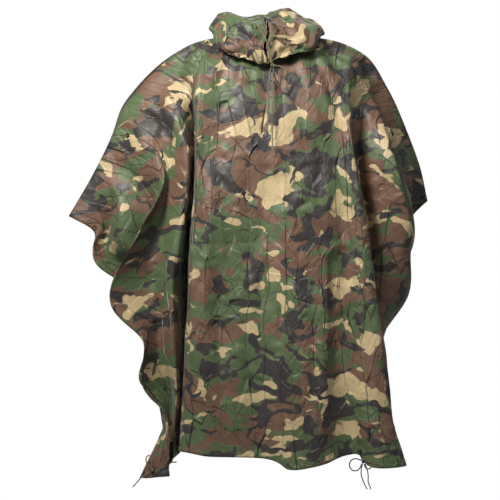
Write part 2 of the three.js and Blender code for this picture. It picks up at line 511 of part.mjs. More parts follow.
// Cords: each route is chosen by hand from where the cord comes out to its free end.
const CORDS = [
  { name: "neck_cord_left_strand", material: CORD_OLIVE, route: [
    [-22.9, -111.8, 25.3], [-23.5, -114.4, 27], [-23.8, -117.8, 28.2], [-23.3, -121.6, 28], [-21.9, -125, 26],
    [-19.6, -128, 22.6], [-16.6, -131, 17.4], [-12.9, -134.6, 10.6], [-8.8, -138.4, 3], [-4.7, -142, -5.4],
    [-0.9, -144.4, -14.2], [2.4, -145.4, -24.6], [5, -145.8, -36], [7.5, -146, -48], [10, -146, -58],
    [12.2, -146, -66.8],
  ] },
  { name: "neck_cord_right_strand", material: CORD_OLIVE, route: [
    [23.2, -114.8, 19.7], [23.9, -117.4, 21.3], [24.3, -120.8, 22.2], [23.8, -124.4, 21.4], [22, -127.4, 18.6],
    [18.9, -130.4, 13.4], [14.8, -133.4, 6.6], [10.3, -136.4, -1.4], [6.2, -139, -9.8], [3, -140.6, -19],
    [2, -141.2, -30], [4, -141.6, -42], [6.5, -142, -54], [9.6, -142.2, -67.6],
  ] },
  { name: "neck_cord_tail", material: CORD_OLIVE, route: [
    [20.9, -144.8, -73], [24, -145.6, -73], [28, -146.6, -73.4], [32, -147.4, -74.2], [36, -148, -75.6],
    [40, -148.5, -78], [43.4, -149, -81.4], [45.6, -149, -86], [46.4, -149, -91], [46.2, -149, -96],
  ] },
  { name: "neck_cord_end_left", material: CORD_OLIVE, route: [
    [9.3, -144.6, -77.6], [7.4, -145, -86], [5.6, -145.6, -97], [4.6, -146, -109], [3.8, -146.4, -120],
    [3.4, -146.8, -131], [3.2, -147.2, -142], [3, -147.6, -153], [2.6, -148, -164], [2.2, -148.5, -175],
    [1.7, -149, -186], [1.2, -149.4, -197], [0.8, -149.8, -208], [0.4, -150.2, -218], [0.8, -150.6, -227],
  ] },
  { name: "neck_cord_end_right", material: CORD_OLIVE, route: [
    [15, -145, -78.4], [14.4, -145.8, -88], [13.4, -146.6, -101], [12.8, -147.2, -115], [12.8, -147.6, -129],
    [13.2, -148.2, -144], [13.4, -148.8, -159], [12.8, -149.4, -174], [12.2, -150, -189], [11.8, -150.6, -204],
    [11.6, -151.2, -219], [12, -151.8, -234], [12.6, -152.4, -250], [12.8, -153, -268], [13, -153.6, -285],
  ] },
  { name: "right_tie_stub", material: CORD_BLACK, route: [
    [228.3, -123, -1021.6], [227.3, -125.2, -1021.9], [226.9, -127.6, -1023.8], [227.8, -129.2, -1028.2],
    [230.4, -130, -1033.6], [233.2, -130.2, -1037.6], [234.8, -130, -1041],
  ] },
  { name: "right_tie_bow", material: CORD_BLACK, route: [
    [230.6, -129.2, -1045], [225, -130, -1040.4], [217, -130, -1038.6], [209, -130, -1041],
    [203.6, -129, -1047.4], [202.4, -128, -1055.6], [205.4, -127, -1063.4], [212, -126.4, -1068.4],
    [220, -126, -1068.6],
    [226.6, -126, -1064], [230.6, -126, -1057.4], [232.8, -126.6, -1051],
  ] },
  { name: "right_tie_small_bow", material: CORD_BLACK, route: [
    [242.4, -131.2, -1046], [246.4, -136.4, -1045.4], [251.6, -140.6, -1047.2], [255.4, -141.6, -1052.2],
    [255, -138.4, -1058.6], [251.2, -132.8, -1063], [246, -128.4, -1064.2], [241.4, -127, -1059.6],
    [238.8, -127, -1051.6],
  ] },
  { name: "right_tie_end_left", material: CORD_OLIVE, route: [
    [234.8, -130.6, -1051.2], [232.6, -131, -1058], [231.2, -131, -1066], [231, -131, -1074],
    [232, -130.6, -1082], [234.6, -130, -1090], [238, -129.6, -1098], [241.6, -129.4, -1106], [246, -129.2, -1114],
  ] },
  { name: "right_tie_end_right", material: CORD_OLIVE, route: [
    [240, -132, -1050.2], [243.2, -133.4, -1057.6], [245.6, -133.6, -1066], [247.6, -133, -1075],
    [248.4, -132.4, -1084], [248, -132, -1092], [249.6, -131.6, -1100], [252.6, -131.2, -1107],
    [255, -131, -1114],
  ] },
  { name: "left_tie_loop", material: CORD_OLIVE, route: [
    [-290.4, -70.6, -1069.2], [-294.4, -71.4, -1064.8], [-298.6, -72, -1059], [-301.4, -72.2, -1052.4],
    [-301.8, -72, -1045.4], [-299, -71.8, -1039.4], [-293.8, -71.6, -1037.6], [-289.6, -71.4, -1041.4],
    [-288.4, -71.2, -1048], [-288.2, -71, -1055], [-287.6, -70.8, -1062], [-286.6, -70.4, -1068.4],
  ] },
  { name: "left_tie_tail", material: CORD_OLIVE, route: [
    [-291.8, -70.6, -1077.2], [-296.4, -71.6, -1080], [-302, -72.4, -1083], [-307.6, -72.6, -1086.6],
    [-313, -72.6, -1091.4], [-318.6, -72.4, -1097.6], [-324.4, -72.2, -1104.4], [-330, -72, -1111],
    [-335, -71.8, -1117],
  ] },
  { name: "left_tie_stub", material: CORD_BLACK, route: [
    [-252.1, -49.5, -1066.2], [-249.4, -48.8, -1062.4], [-245, -48.6, -1059], [-239, -49, -1057.2],
    [-232, -49.6, -1056.6], [-226, -50, -1056.6],
  ] },
];

function tube(route) {
  const curve = new THREE.CatmullRomCurve3(route.map(([x, y, z]) => new THREE.Vector3(x, y, z)));
  const section = Array.from({ length: CORD_SIDES }, (_, k) => {
    const turn = (k / CORD_SIDES) * 2 * Math.PI;
    return new THREE.Vector2(CORD_RADIUS * Math.cos(turn), CORD_RADIUS * Math.sin(turn));
  });
  const steps = Math.max(CORD_LEAST_STEPS, Math.round(curve.getLength() / CORD_STEP));
  const shape = new THREE.Shape(section);
  return new THREE.ExtrudeGeometry(shape, { steps, bevelEnabled: false, extrudePath: curve });
}

for (const { name, material, route } of CORDS) add(name, tube(route), material);

// A knot, as the rounded bead that its turns make.
function knot(name, at, size, material) {
  const mesh = add(name, new THREE.SphereGeometry(1, KNOT_SIDES, KNOT_ROWS), material);
  mesh.scale.set(...size);
  mesh.position.set(...at);
}

knot("neck_cord_knot", [13.5, -144.5, -72.5], [7, 5, 5.5], CORD_OLIVE);
knot("right_tie_knot", [236.5, -129.5, -1046], [5.2, 4.4, 5], CORD_BLACK);
knot("left_tie_knot", [-287.6, -70, -1073.9], [5, 4.2, 4.8], CORD_OLIVE);

export default poncho;
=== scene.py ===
"""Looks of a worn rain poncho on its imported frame: nylon, sewing, eyelets, cords and a plain studio."""
import math

import bpy
import numpy as np
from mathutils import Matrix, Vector


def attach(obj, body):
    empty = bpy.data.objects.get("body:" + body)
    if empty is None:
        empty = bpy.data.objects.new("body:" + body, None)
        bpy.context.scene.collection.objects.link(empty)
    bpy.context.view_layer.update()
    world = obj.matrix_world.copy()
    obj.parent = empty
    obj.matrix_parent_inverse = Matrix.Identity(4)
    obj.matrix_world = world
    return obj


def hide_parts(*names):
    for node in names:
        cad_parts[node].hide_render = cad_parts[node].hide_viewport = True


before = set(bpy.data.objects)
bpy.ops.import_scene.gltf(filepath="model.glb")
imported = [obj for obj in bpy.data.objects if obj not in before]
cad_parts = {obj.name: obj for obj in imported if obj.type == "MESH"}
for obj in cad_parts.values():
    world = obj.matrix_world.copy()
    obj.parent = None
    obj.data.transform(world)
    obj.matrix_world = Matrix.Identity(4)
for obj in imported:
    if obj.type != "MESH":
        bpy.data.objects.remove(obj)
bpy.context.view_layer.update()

bl_info = {
    "name": "Rain poncho",
    "version": (1, 0, 0),
    "blender": (4, 5, 0),
    "location": "3D View > Sidebar > Poncho",
    "description": "Hangs a crumpled nylon rain poncho with its cords and eyelets in a plain studio",
    "category": "Object",
}

MM = 0.001

# How finely the cloth is divided, kept under 200,000 triangles a piece.
PANEL_COLUMNS = 250
PANEL_ROWS = 186
HOOD_COLUMNS = 168
HOOD_ROWS = 116
# The middle of the picture, in metres.
VIEW_X = -0.0425
VIEW_Z = -0.525

# The cut, in millimetres. The front faces -Y and +X is on the right in the front view.
HALF_WIDTH = 725.0
NECK_CLOTH = 130.0
NECK_HALF_WIDTH = 119.0
NECK_FRONT = 92.0
NECK_BACK = 84.0
NECK_SIDE_HEIGHT = 15.0
NECK_FRONT_DIP = 66.0
NECK_BACK_DIP = 6.0

# The line over the shoulders and arms, as place in the cloth, x, y, z.
RIDGE_LEFT = [
    (-725, -503, 10, -439),
    (-625, -448, 10, -345),
    (-500, -392, 8, -231),
    (-430, -367, 5, -162),
    (-380, -338, 3, -122),
    (-275, -258, 0, -44),
    (-195, -184, 0, -1),
    (-130, -119, 0, 15),
]
RIDGE_RIGHT = [
    (130, 119, 0, 15),
    (205, 192, 2, -1),
    (270, 254, 8, -34),
    (355, 305, 30, -106),
    (500, 367, 75, -232),
    (585, 396, 112, -300),
    (725, 425, 180, -396),
]

# Fold lines: place in the cloth on the ridge, place at the hem, height of the hem,
# then x and y at LEVELS of the drop.
LEVELS = [0.05, 0.12, 0.3, 0.5, 0.63, 0.8, 1.0]
FRONT_FOLDS = [
    (-725, -725, -1095, [-444, -438, -390, -302, -287, -264, -318], [4, 2, 0, -12, -22, -38, -62]),
    (-685, -680, -1095, [-420, -402, -362, -290, -276, -259, -298], [0, 18, 12, -8, -12, -44, -66]),
    (-625, -625, -1092, [-387, -370, -357, -292, -277, -253, -272], [-32, -50, -48, -48, -48, -54, -69]),
    (-575, -570, -1090, [-347, -302, -317, -285, -268, -245, -245], [-24, -36, -22, -20, -26, -50, -66]),
    (-500, -505, -1088, [-317, -267, -322, -387, -305, -258, -262], [-55, -88, -108, -105, -92, -40, -38]),
    (-445, -450, -1062, [-292, -257, -272, -292, -272, -244, -242], [-50, -70, -60, -58, -52, -22, -12]),
    (-395, -400, -1055, [-260, -235, -237, -242, -240, -232, -238], [-70, -98, -108, -105, -98, -62, -22]),
    (-305, -320, -1040, [-215, -205, -207, -210, -212, -217, -222], [-42, -46, -24, -14, -10, 2, 14]),
    (-200, -220, -1022, [-180, -185, -188, -192, -196, -202, -212],
     [-58, -100, -130, -138, -137, -132, -125]),
    (-130, -145, -1032, [-132, -137, -141, -143, -143, -143, -143],
     [-72, -112, -136, -144, -145, -142, -134]),
    (0, 5, -1039, [0, 0, 0, 0, 0, 0, 0], [-110, -126, -142, -150, -153, -153, -150]),
    (60, 60, -1061, [52, 54, 56, 56, 56, 54, 52], [-104, -126, -144, -152, -157, -164, -174]),
    (130, 125, -1055, [128, 126, 124, 122, 121, 117, 112], [-72, -112, -138, -147, -151, -157, -166]),
    (190, 250, -1029, [168, 172, 178, 188, 193, 202, 218], [-60, -99, -126, -130, -129, -124, -116]),
    (220, 300, -1059, [190, 191, 203, 222, 235, 248, 264], [-62, -101, -129, -134, -137, -142, -146]),
    (245, 385, -1056, [211, 208, 221, 250, 271, 298, 341], [-62, -96, -125, -130, -132, -134, -135]),
    (325, 465, -1046, [238, 220, 235, 255, 261, 281, 312], [-34, -50, -52, -56, -58, -62, -72]),
    (385, 520, -1036, [270, 268, 282, 297, 290, 272, 282], [-40, -74, -84, -70, -56, -30, -22]),
    (440, 565, -1030, [303, 319, 360, 349, 305, 265, 270], [-44, -86, -82, -42, -18, 6, 18]),
    (520, 615, -1030, [344, 354, 378, 362, 298, 277, 282], [-8, -14, 6, 10, 26, 50, 58]),
    (600, 665, -1027, [380, 370, 347, 332, 290, 284, 294], [64, 58, 54, 60, 72, 84, 92]),
    (725, 725, -1025, [352, 336, 325, 302, 290, 290, 302], [132, 114, 100, 100, 106, 116, 124]),
]
BACK_FOLDS = [
    (-725, -725, -1018, [-430, -412, -348, -284, -268, -256, -252], [30, 44, 50, 60, 62, 60, 58]),
    (-685, -685, -1018, [-410, -398, -340, -280, -262, -250, -246], [60, 88, 110, 128, 134, 136, 138]),
    (-625, -625, -1019, [-388, -372, -328, -268, -244, -232, -226], [74, 104, 132, 140, 146, 150, 152]),
    (-575, -575, -1020, [-358, -334, -300, -254, -238, -222, -214], [44, 54, 56, 60, 62, 64, 66]),
    (-500, -500, -1020, [-325, -300, -282, -250, -226, -208, -200], [58, 86, 124, 146, 154, 156, 158]),
    (-445, -445, -1022, [-300, -268, -242, -222, -214, -204, -196], [62, 92, 136, 156, 160, 160, 158]),
    (-395, -395, -1022, [-270, -242, -224, -206, -200, -192, -184], [40, 58, 70, 66, 62, 58, 56]),
    (-305, -310, -1022, [-228, -208, -190, -176, -172, -168, -166], [48, 76, 92, 92, 92, 94, 96]),
    (-200, -215, -1024, [-170, -158, -150, -148, -148, -148, -150], [54, 90, 126, 146, 154, 160, 164]),
    (-130, -135, -1025, [-124, -114, -106, -98, -96, -96, -98], [64, 98, 124, 126, 122, 116, 112]),
    (0, 0, -1026, [0, 0, 0, -4, -6, -8, -10], [100, 114, 128, 138, 144, 152, 160]),
    (60, 60, -1028, [53, 51, 50, 44, 42, 40, 38], [94, 110, 124, 126, 124, 122, 120]),
    (130, 130, -1028, [122, 112, 104, 98, 96, 96, 98], [64, 98, 126, 142, 150, 158, 164]),
    (190, 190, -1028, [164, 152, 143, 138, 138, 140, 142], [58, 92, 124, 140, 146, 150, 152]),
    (220, 220, -1028, [188, 173, 162, 158, 160, 164, 168], [56, 86, 112, 116, 112, 106, 102]),
    (245, 260, -1027, [208, 193, 181, 176, 178, 184, 190], [60, 82, 96, 92, 86, 80, 78]),
    (325, 330, -1026, [260, 240, 220, 206, 206, 212, 218], [86, 120, 162, 182, 188, 190, 190]),
    (385, 390, -1024, [289, 268, 252, 240, 236, 238, 244], [84, 104, 118, 122, 122, 122, 122]),
    (440, 445, -1022, [314, 297, 280, 264, 258, 258, 264], [118, 152, 184, 204, 208, 208, 206]),
    (520, 525, -1020, [347, 332, 305, 288, 280, 278, 282], [128, 148, 160, 158, 158, 160, 160]),
    (600, 605, -1018, [378, 362, 330, 306, 294, 290, 296], [172, 206, 226, 228, 226, 224, 222]),
    (725, 725, -1016, [394, 366, 334, 308, 298, 296, 302], [210, 200, 184, 176, 170, 168, 168]),
]

# Where the hanging cloth bags out or nips in: place, drop, how wide, how tall, then the move in x and y.
FRONT_BAGS = [
    (-700, 0.17, 70, 0.05, -12, -6),
    (-690, 0.265, 90, 0.045, 36, 14),
    (-500, 0.585, 70, 0.045, 15, 0),
    (-565, 0.71, 90, 0.06, -58, -8),
    (650, 0.045, 60, 0.03, -16, 0),
    (530, 0.4, 90, 0.06, -20, 0),
    (250, 0.9, 60, 0.06, -9, 0),
]

# Where the thin cloth departs from its plain hanging form: place, drop, how wide, how tall, move in x and y.
FRONT_PULLS = [
    (-300, 0.25, 55, 0.2, 30, 14),
    (-388, 0.25, 42, 0.2, 37, -8),
    (-212, 0.25, 34, 0.2, 13, 0),
    (-300, 0.72, 55, 0.22, 12, 14),
    (-380, 0.72, 42, 0.2, 9, -6),
    (-235, 0.3, 30, 0.3, 0, -4),
]

# Edges where the front lies over itself: the line in x and z, the step back on its right
# and how far that reaches.
FRONT_LAPS = [
    ([(214, -28), (250, -88), (283, -180), (318, -290), (346, -400), (374, -510)], 22, 60),
    ([(222, -350), (240, -440), (252, -540)], 9, 36),
    ([(-290, -130), (-262, -220), (-230, -305)], 9, 24),
    ([(-316, -165), (-286, -205), (-250, -255)], 7, 20),
    ([(-130, -600), (-128, -700), (-126, -840)], 5, 26),
    ([(-13, -640), (-15, -800), (-15, -990)], -5, 26),
    ([(146, -520), (147, -700), (147, -930)], 7, 30),
    ([(196, -640), (204, -800), (208, -990)], 6, 24),
    ([(262, -780), (280, -900), (290, -1000)], 7, 24),
    ([(-404, -350), (-402, -400), (-404, -455)], 8, 24),
]

# The empty hood: sections round the neck from the front, each from the seam out over the lip,
# up and in to the crown.
HOOD_LEVELS = [0.12, 0.3, 0.5, 0.72, 0.87, 1.0]
HOOD_ANGLES = [0, 45, 90, 135, 180]
HOOD_LEFT = [
    [(-2, -110, -54), (-5, -128, -66), (-9, -134, -20), (-8, -112, 30), (-4, -86, 52), (0, -64, 62)],
    [(-90, -80, -20), (-104, -100, -36), (-106, -96, 10), (-78, -66, 56), (-40, -48, 56), (0, -34, 68)],
    [(-130, 0, 22), (-146, -4, 34), (-130, 0, 60), (-92, 6, 78), (-46, 6, 56), (0, 6, 73)],
    [(-92, 72, 16), (-108, 92, 10), (-104, 92, 38), (-70, 68, 64), (-36, 52, 56), (0, 38, 71)],
    [(0, 98, 4), (0, 130, -10), (0, 138, 20), (0, 114, 52), (0, 90, 62), (0, 66, 68)],
]
HOOD_RIGHT = [
    [(2, -110, -54), (5, -128, -66), (9, -134, -20), (8, -112, 30), (4, -86, 52), (0, -64, 62)],
    [(90, -80, -20), (102, -102, -30), (108, -96, 4), (84, -68, 46), (42, -48, 70), (0, -34, 68)],
    [(130, 0, 22), (143, -4, 22), (132, 2, 42), (100, 8, 64), (48, 8, 87), (0, 6, 73)],
    [(92, 72, 16), (108, 92, 10), (104, 92, 32), (72, 70, 58), (36, 54, 76), (0, 38, 71)],
    [(0, 98, 4), (0, 130, -10), (0, 138, 20), (0, 114, 52), (0, 90, 62), (0, 66, 68)],
]

# Creases pressed or pulled into the front: x and z of both ends, depth out of the cloth
# (less than 0 is a trough) and half width.
FRONT_CREASES = [
    (-11, -312, -13, -700, -1.5, 4.5),
    (-13, -700, -15, -1037, -1.8, 4.5),
    (145, -500, 146, -940, 1.5, 4.5),
    (-192, -512, -20, -508, -1.4, 5),
    (-20, -508, 152, -514, -1.2, 5),
    (-137, -872, -8, -876, -1.0, 5),
    (-178, -500, -180, -850, 2.2, 7),
    (-130, -332, -85, -390, -3.0, 6),
    (-137, -425, -75, -382, -2.6, 6),
    (-122, -322, -76, -372, 2.2, 6),
    (70, -420, 167, -510, -2.4, 7),
    (58, -400, 150, -470, 1.8, 8),
    (84, -436, 120, -520, -1.6, 7),
    (-84, -100, 30, -150, -2.6, 8),
    (-70, -130, 70, -205, 2.4, 9),
    (-60, -165, 40, -238, -2.6, 8),
    (-20, -180, 92, -250, 2.0, 8),
    (-120, -150, -40, -96, 2.4, 8),
    (-150, -190, -60, -140, -2.6, 9),
    (-160, -225, -70, -180, 2.0, 8),
    (30, -120, 110, -150, 2.0, 7),
    (40, -150, 120, -196, -2.2, 8),
    (132, -125, 176, -230, 2.8, 8),
    (146, -118, 200, -226, -3.0, 8),
    (160, -112, 214, -206, 2.6, 8),
    (120, -140, 150, -240, -2.2, 8),
    (264, -195, 264, -297, -3.4, 5),
    (327, -295, 382, -315, 2.6, 7),
    (260, -625, 340, -700, -3.0, 9),
    (268, -670, 330, -738, -2.6, 8),
    (275, -640, 350, -672, 2.2, 8),
    (-290, -140, -232, -302, -4.0, 10),
    (-310, -175, -250, -250, -3.0, 9),
    (-300, -130, -222, -280, 2.6, 9),
    (-404, -362, -402, -457, -4.5, 8),
    (-390, -350, -372, -450, 3.0, 9),
    (267, -1020, 246, -1042, -2.6, 5),
    (-300, -560, -268, -640, -3.0, 9),
    (-316, -520, -290, -600, 2.4, 9),
    (-286, -700, -262, -770, -2.6, 9),
    (-300, -850, -262, -905, -3.0, 8),
    (-296, -905, -258, -960, 2.4, 8),
    (-290, -950, -250, -990, -2.4, 8),
    (252, -88, 315, -275, 4, 9),
    (312, -268, 374, -505, 4, 9),
    (340, -260, 352, -400, -3, 9),
    (58, -520, 64, -1010, 3.6, 16),
    (100, -560, 108, -1000, -4.4, 12),
    (150, -470, 168, -1010, -4.4, 11),
    (192, -600, 216, -1000, 4.6, 17),
    (226, -560, 256, -1000, -4.6, 13),
    (262, -640, 300, -1000, 3.6, 13),
    (-60, -560, -66, -1010, 3.4, 15),
    (-110, -540, -116, -1000, -4.2, 12),
    (-150, -300, -156, -960, 3.8, 13),
    (-40, -300, -44, -560, -3.4, 11),
    (40, -300, 50, -560, 3.4, 13),
    (196, -240, 206, -520, 4.0, 14),
    (120, -250, 128, -480, -3.8, 12),
    (-250, -120, -262, -300, 4.4, 12),
    (-276, -130, -290, -320, -4.6, 11),
]
# Star crumples: x, z, reach and depth.
FRONT_STARS = [
    (-65, -418, 42, 2.2),
    (70, -420, 46, 2.6),
    (167, -510, 48, 2.6),
    (-52, -588, 34, 1.8),
    (-38, -625, 34, 1.8),
    (145, -665, 40, 2.2),
    (132, -700, 36, 2.0),
    (158, -850, 40, 2.0),
    (95, -888, 38, 1.8),
    (20, -330, 44, 2.0),
    (-120, -640, 36, 1.6),
    (-90, -300, 44, 2.4),
    (110, -310, 46, 2.2),
    (-150, -560, 34, 1.8),
    (280, -975, 40, 3.0),
    (300, -1010, 36, 2.6),
    (40, -760, 38, 1.4),
    (-70, -820, 38, 1.6),
    (230, -560, 44, 1.6),
    (-340, -300, 46, 3.0),
    (350, -380, 44, 2.6),
]
BACK_CREASES = [
    (4, -160, 2, -620, 1.6, 5),
    (2, -620, -4, -1020, 1.4, 5),
    (-150, -300, 190, -306, -1.6, 5),
    (-180, -540, 210, -536, -1.4, 5),
    (-170, -800, 200, -806, -1.4, 5),
    (-60, -70, -120, -190, 3.0, 9),
    (-30, -80, -60, -210, -2.8, 9),
    (30, -80, 60, -200, 2.8, 9),
    (70, -66, 130, -180, -3.0, 9),
    (100, -60, 190, -150, 2.6, 9),
    (-90, -64, -180, -150, -2.8, 9),
    (-140, -220, -40, -280, 2.4, 8),
    (40, -230, 150, -290, -2.4, 8),
    (-200, -120, -250, -260, -3.4, 10),
    (230, -120, 290, -250, -3.4, 10),
    (-300, -260, -240, -380, 3.0, 9),
    (300, -300, 260, -420, 3.0, 9),
    (-120, -640, -40, -700, -2.0, 7),
    (60, -650, 150, -720, 2.0, 7),
    (-150, -880, -60, -930, 1.8, 7),
    (80, -900, 180, -950, -2.0, 7),
]
BACK_STARS = [
    (-70, -300, 44, 2.4),
    (90, -360, 46, 2.4),
    (-130, -470, 40, 2.0),
    (150, -560, 42, 2.0),
    (0, -620, 36, 1.8),
    (-90, -740, 40, 2.0),
    (120, -820, 40, 1.8),
    (-160, -930, 36, 2.0),
    (220, -950, 38, 2.0),
    (-280, -420, 44, 2.8),
    (300, -520, 44, 2.6),
]
HOOD_CREASES = [
    (-120, 12, -60, -30, -4.0, 6),
    (-128, 0, -78, -52, 3.0, 7),
    (-100, 40, -40, 0, -3.6, 6),
    (-86, 52, -34, 20, 3.0, 7),
    (-70, 22, -28, -30, -3.2, 6),
    (-40, 50, -30, -10, 2.6, 6),
    (20, 58, 70, 46, -3.4, 5),
    (12, 40, 46, 8, 2.6, 6),
    (30, 74, 60, 30, -2.6, 5),
    (60, 60, 120, 20, 2.4, 8),
    (16, -12, 100, 4, -2.2, 7),
    (24, -34, 88, -24, 2.6, 6),
    (36, -28, 44, -56, -3.0, 4),
]

# The print's larger patches on the front: colour, x, z, half width, half height and tilt in degrees.
FRONT_PATCHES = [
    ("tan", -200, -212, 13, 72, 0), ("tan", -150, -146, 38, 9, 28), ("tan", -241, -268, 22, 18, 20),
    ("tan", -345, -262, 24, 18, 45), ("tan", -360, -394, 40, 24, 12), ("tan", -317, -354, 16, 17, 0),
    ("tan", -404, -318, 16, 28, 25), ("tan", -372, -505, 46, 22, 20), ("tan", -66, -226, 44, 10, 18),
    ("tan", -52, -395, 17, 30, 0), ("tan", -92, -452, 17, 8, 20), ("tan", -172, -496, 20, 14, 0),
    ("tan", 232, -124, 28, 46, 0), ("tan", 148, -178, 26, 16, -20), ("tan", 182, -200, 12, 34, -18),
    ("tan", 302, -256, 22, 46, -8), ("tan", 276, -320, 26, 10, 0), ("tan", 296, -418, 18, 9, 0),
    ("tan", 346, -242, 12, 28, -10), ("tan", 9, -380, 30, 54, 0), ("tan", 184, -408, 46, 26, 0),
    ("tan", 178, -334, 28, 9, -25), ("tan", -18, -470, 32, 6, 5), ("tan", -18, -192, 18, 9, 30),
    ("tan", 27, -582, 26, 22, 0), ("tan", 90, -598, 26, 6, 0), ("tan", 24, -664, 25, 30, 10),
    ("tan", 182, -716, 46, 16, 0), ("tan", 252, -746, 26, 26, -30), ("tan", 113, -808, 14, 18, 0),
    ("tan", 182, -844, 42, 7, -8), ("tan", 238, -816, 15, 18, -40), ("tan", 218, -980, 42, 22, 8),
    ("tan", 272, -1040, 22, 10, 20), ("tan", 20, -978, 22, 15, 0), ("tan", 181, -1020, 22, 10, 0),
    ("tan", -120, -772, 50, 10, 8), ("tan", -186, -768, 12, 28, 0), ("tan", -133, -886, 18, 14, 20),
    ("tan", -181, -936, 28, 12, 20), ("tan", -53, -677, 22, 14, 0), ("tan", -332, -672, 34, 20, -20),
    ("tan", -229, -652, 20, 17, 20), ("tan", -281, -832, 22, 12, 15), ("tan", -228, -912, 14, 16, 0),
    ("tan", -263, -992, 18, 15, 0), ("tan", 169, -610, 20, 6, 0), ("tan", 238, -618, 24, 6, -8),
    ("black", -430, -386, 40, 20, 40), ("black", -264, -186, 20, 58, 10), ("black", -100, -182, 60, 18, 8),
    ("black", -96, -345, 44, 28, -25), ("black", -320, -220, 28, 11, 0), ("black", -362, -476, 44, 9, 15),
    ("black", 77, -140, 36, 20, 15), ("black", 50, -186, 36, 14, 10), ("black", 104, -302, 46, 28, -10),
    ("black", 122, -352, 26, 24, 0), ("black", 130, -406, 28, 16, 10), ("black", 182, -312, 30, 20, -20),
    ("black", 198, -458, 9, 24, 0), ("black", -2, -250, 15, 42, 0), ("black", 42, -282, 32, 13, 0),
    ("black", 302, -434, 42, 22, 10), ("black", -116, -812, 56, 14, 8), ("black", -52, -764, 12, 32, 0),
    ("black", -90, -960, 44, 9, -5), ("black", -100, -688, 46, 9, 5), ("black", -237, -704, 28, 20, 0),
    ("black", -277, -868, 27, 16, 0), ("black", 94, -612, 22, 18, 0), ("black", 133, -626, 20, 20, 0),
    ("black", 173, -564, 15, 30, 0), ("black", 237, -640, 28, 12, 0), ("black", 197, -884, 32, 11, 20),
    ("black", 205, -936, 36, 10, 5), ("black", 285, -988, 17, 16, 0), ("black", 312, -1028, 20, 12, 0),
    ("black", 125, -956, 28, 16, 0), ("black", 117, -996, 34, 11, 0), ("black", -18, -940, 11, 42, 0),
    ("black", 57, -864, 32, 13, 0), ("black", 340, -650, 14, 9, 0), ("black", -160, -28, 40, 9, 12),
    ("brown", -252, -140, 28, 56, 10), ("brown", -118, -242, 62, 24, 0), ("brown", -137, -104, 64, 24, 0),
    ("brown", -297, -258, 42, 24, 0), ("brown", -130, -390, 32, 38, 0), ("brown", 300, -155, 18, 38, 20),
    ("brown", 69, -84, 54, 18, 0), ("brown", 288, -370, 42, 30, 0), ("brown", 129, -234, 52, 7, 0),
    ("brown", -12, -226, 26, 20, 0), ("brown", 340, -480, 26, 26, 0), ("brown", -141, -598, 38, 12, 10),
    ("brown", -117, -736, 50, 24, 0), ("brown", -101, -864, 58, 22, 0), ("brown", -90, -990, 56, 13, 0),
    ("brown", 73, -568, 36, 22, 0), ("brown", 17, -548, 46, 13, 0), ("brown", 29, -716, 38, 24, 0),
    ("brown", 212, -585, 26, 20, 0), ("brown", 296, -625, 36, 30, 0), ("brown", 316, -960, 16, 22, 0),
    ("brown", -169, -1011, 36, 12, 0), ("brown", -269, -1060, 24, 12, 0), ("brown", -205, -330, 26, 60, 0),
    ("brown", -290, -560, 36, 24, 0), ("brown", -249, -748, 20, 13, 0),
    ("green", -190, -46, 62, 28, 20), ("green", -330, -160, 20, 48, -12), ("green", -330, -322, 52, 22, 10),
    ("green", -110, -284, 44, 28, 0), ("green", -384, -452, 28, 18, 0), ("green", -92, -476, 34, 26, 0),
    ("green", 149, -44, 62, 20, -10), ("green", 89, -410, 32, 32, 0), ("green", 137, -258, 50, 16, 0),
    ("green", 266, -250, 24, 44, 0), ("green", 206, -374, 36, 8, -10), ("green", 25, -478, 64, 18, 0),
    ("green", 178, -500, 48, 20, 0), ("green", -118, -552, 52, 28, 0), ("green", -137, -654, 44, 22, 10),
    ("green", -65, -924, 32, 18, 0), ("green", -177, -975, 22, 12, 0), ("green", -405, -569, 32, 12, 0),
    ("green", -337, -604, 38, 20, 0), ("green", -237, -772, 30, 14, 0), ("green", -269, -1028, 24, 14, 0),
    ("green", -277, -1088, 26, 9, 0), ("green", 113, -686, 32, 26, 0), ("green", 193, -780, 42, 28, 0),
    ("green", 268, -796, 22, 14, 0), ("green", 37, -764, 28, 14, 0), ("green", 205, -912, 34, 8, 0),
    ("green", 61, -966, 32, 16, 0), ("green", 89, -1050, 50, 14, 0), ("green", 197, -680, 34, 13, 0),
    ("green", 296, -549, 38, 13, 0), ("green", 45, -904, 24, 11, 0),
]
HOOD_PATCHES = [
    ("tan", 92, 10, 30, 13, 10), ("tan", 48, -3, 44, 6, 12), ("tan", 33, -35, 27, 12, 5),
    ("tan", 24, 55, 30, 12, 0),
    ("tan", -118, 32, 24, 12, 20), ("tan", -112, 2, 10, 14, 0), ("tan", -22, -52, 20, 10, 0),
    ("brown", 52, 22, 46, 14, 10), ("brown", -96, 66, 22, 16, 0), ("brown", -70, -22, 44, 10, 0),
    ("brown", 60, -20, 40, 5, 10), ("green", 86, 66, 18, 14, -30), ("green", -66, 34, 42, 18, -8),
    ("green", -26, 18, 22, 34, 0), ("green", -80, -34, 34, 16, -10), ("black", -60, -50, 40, 8, 0),
]

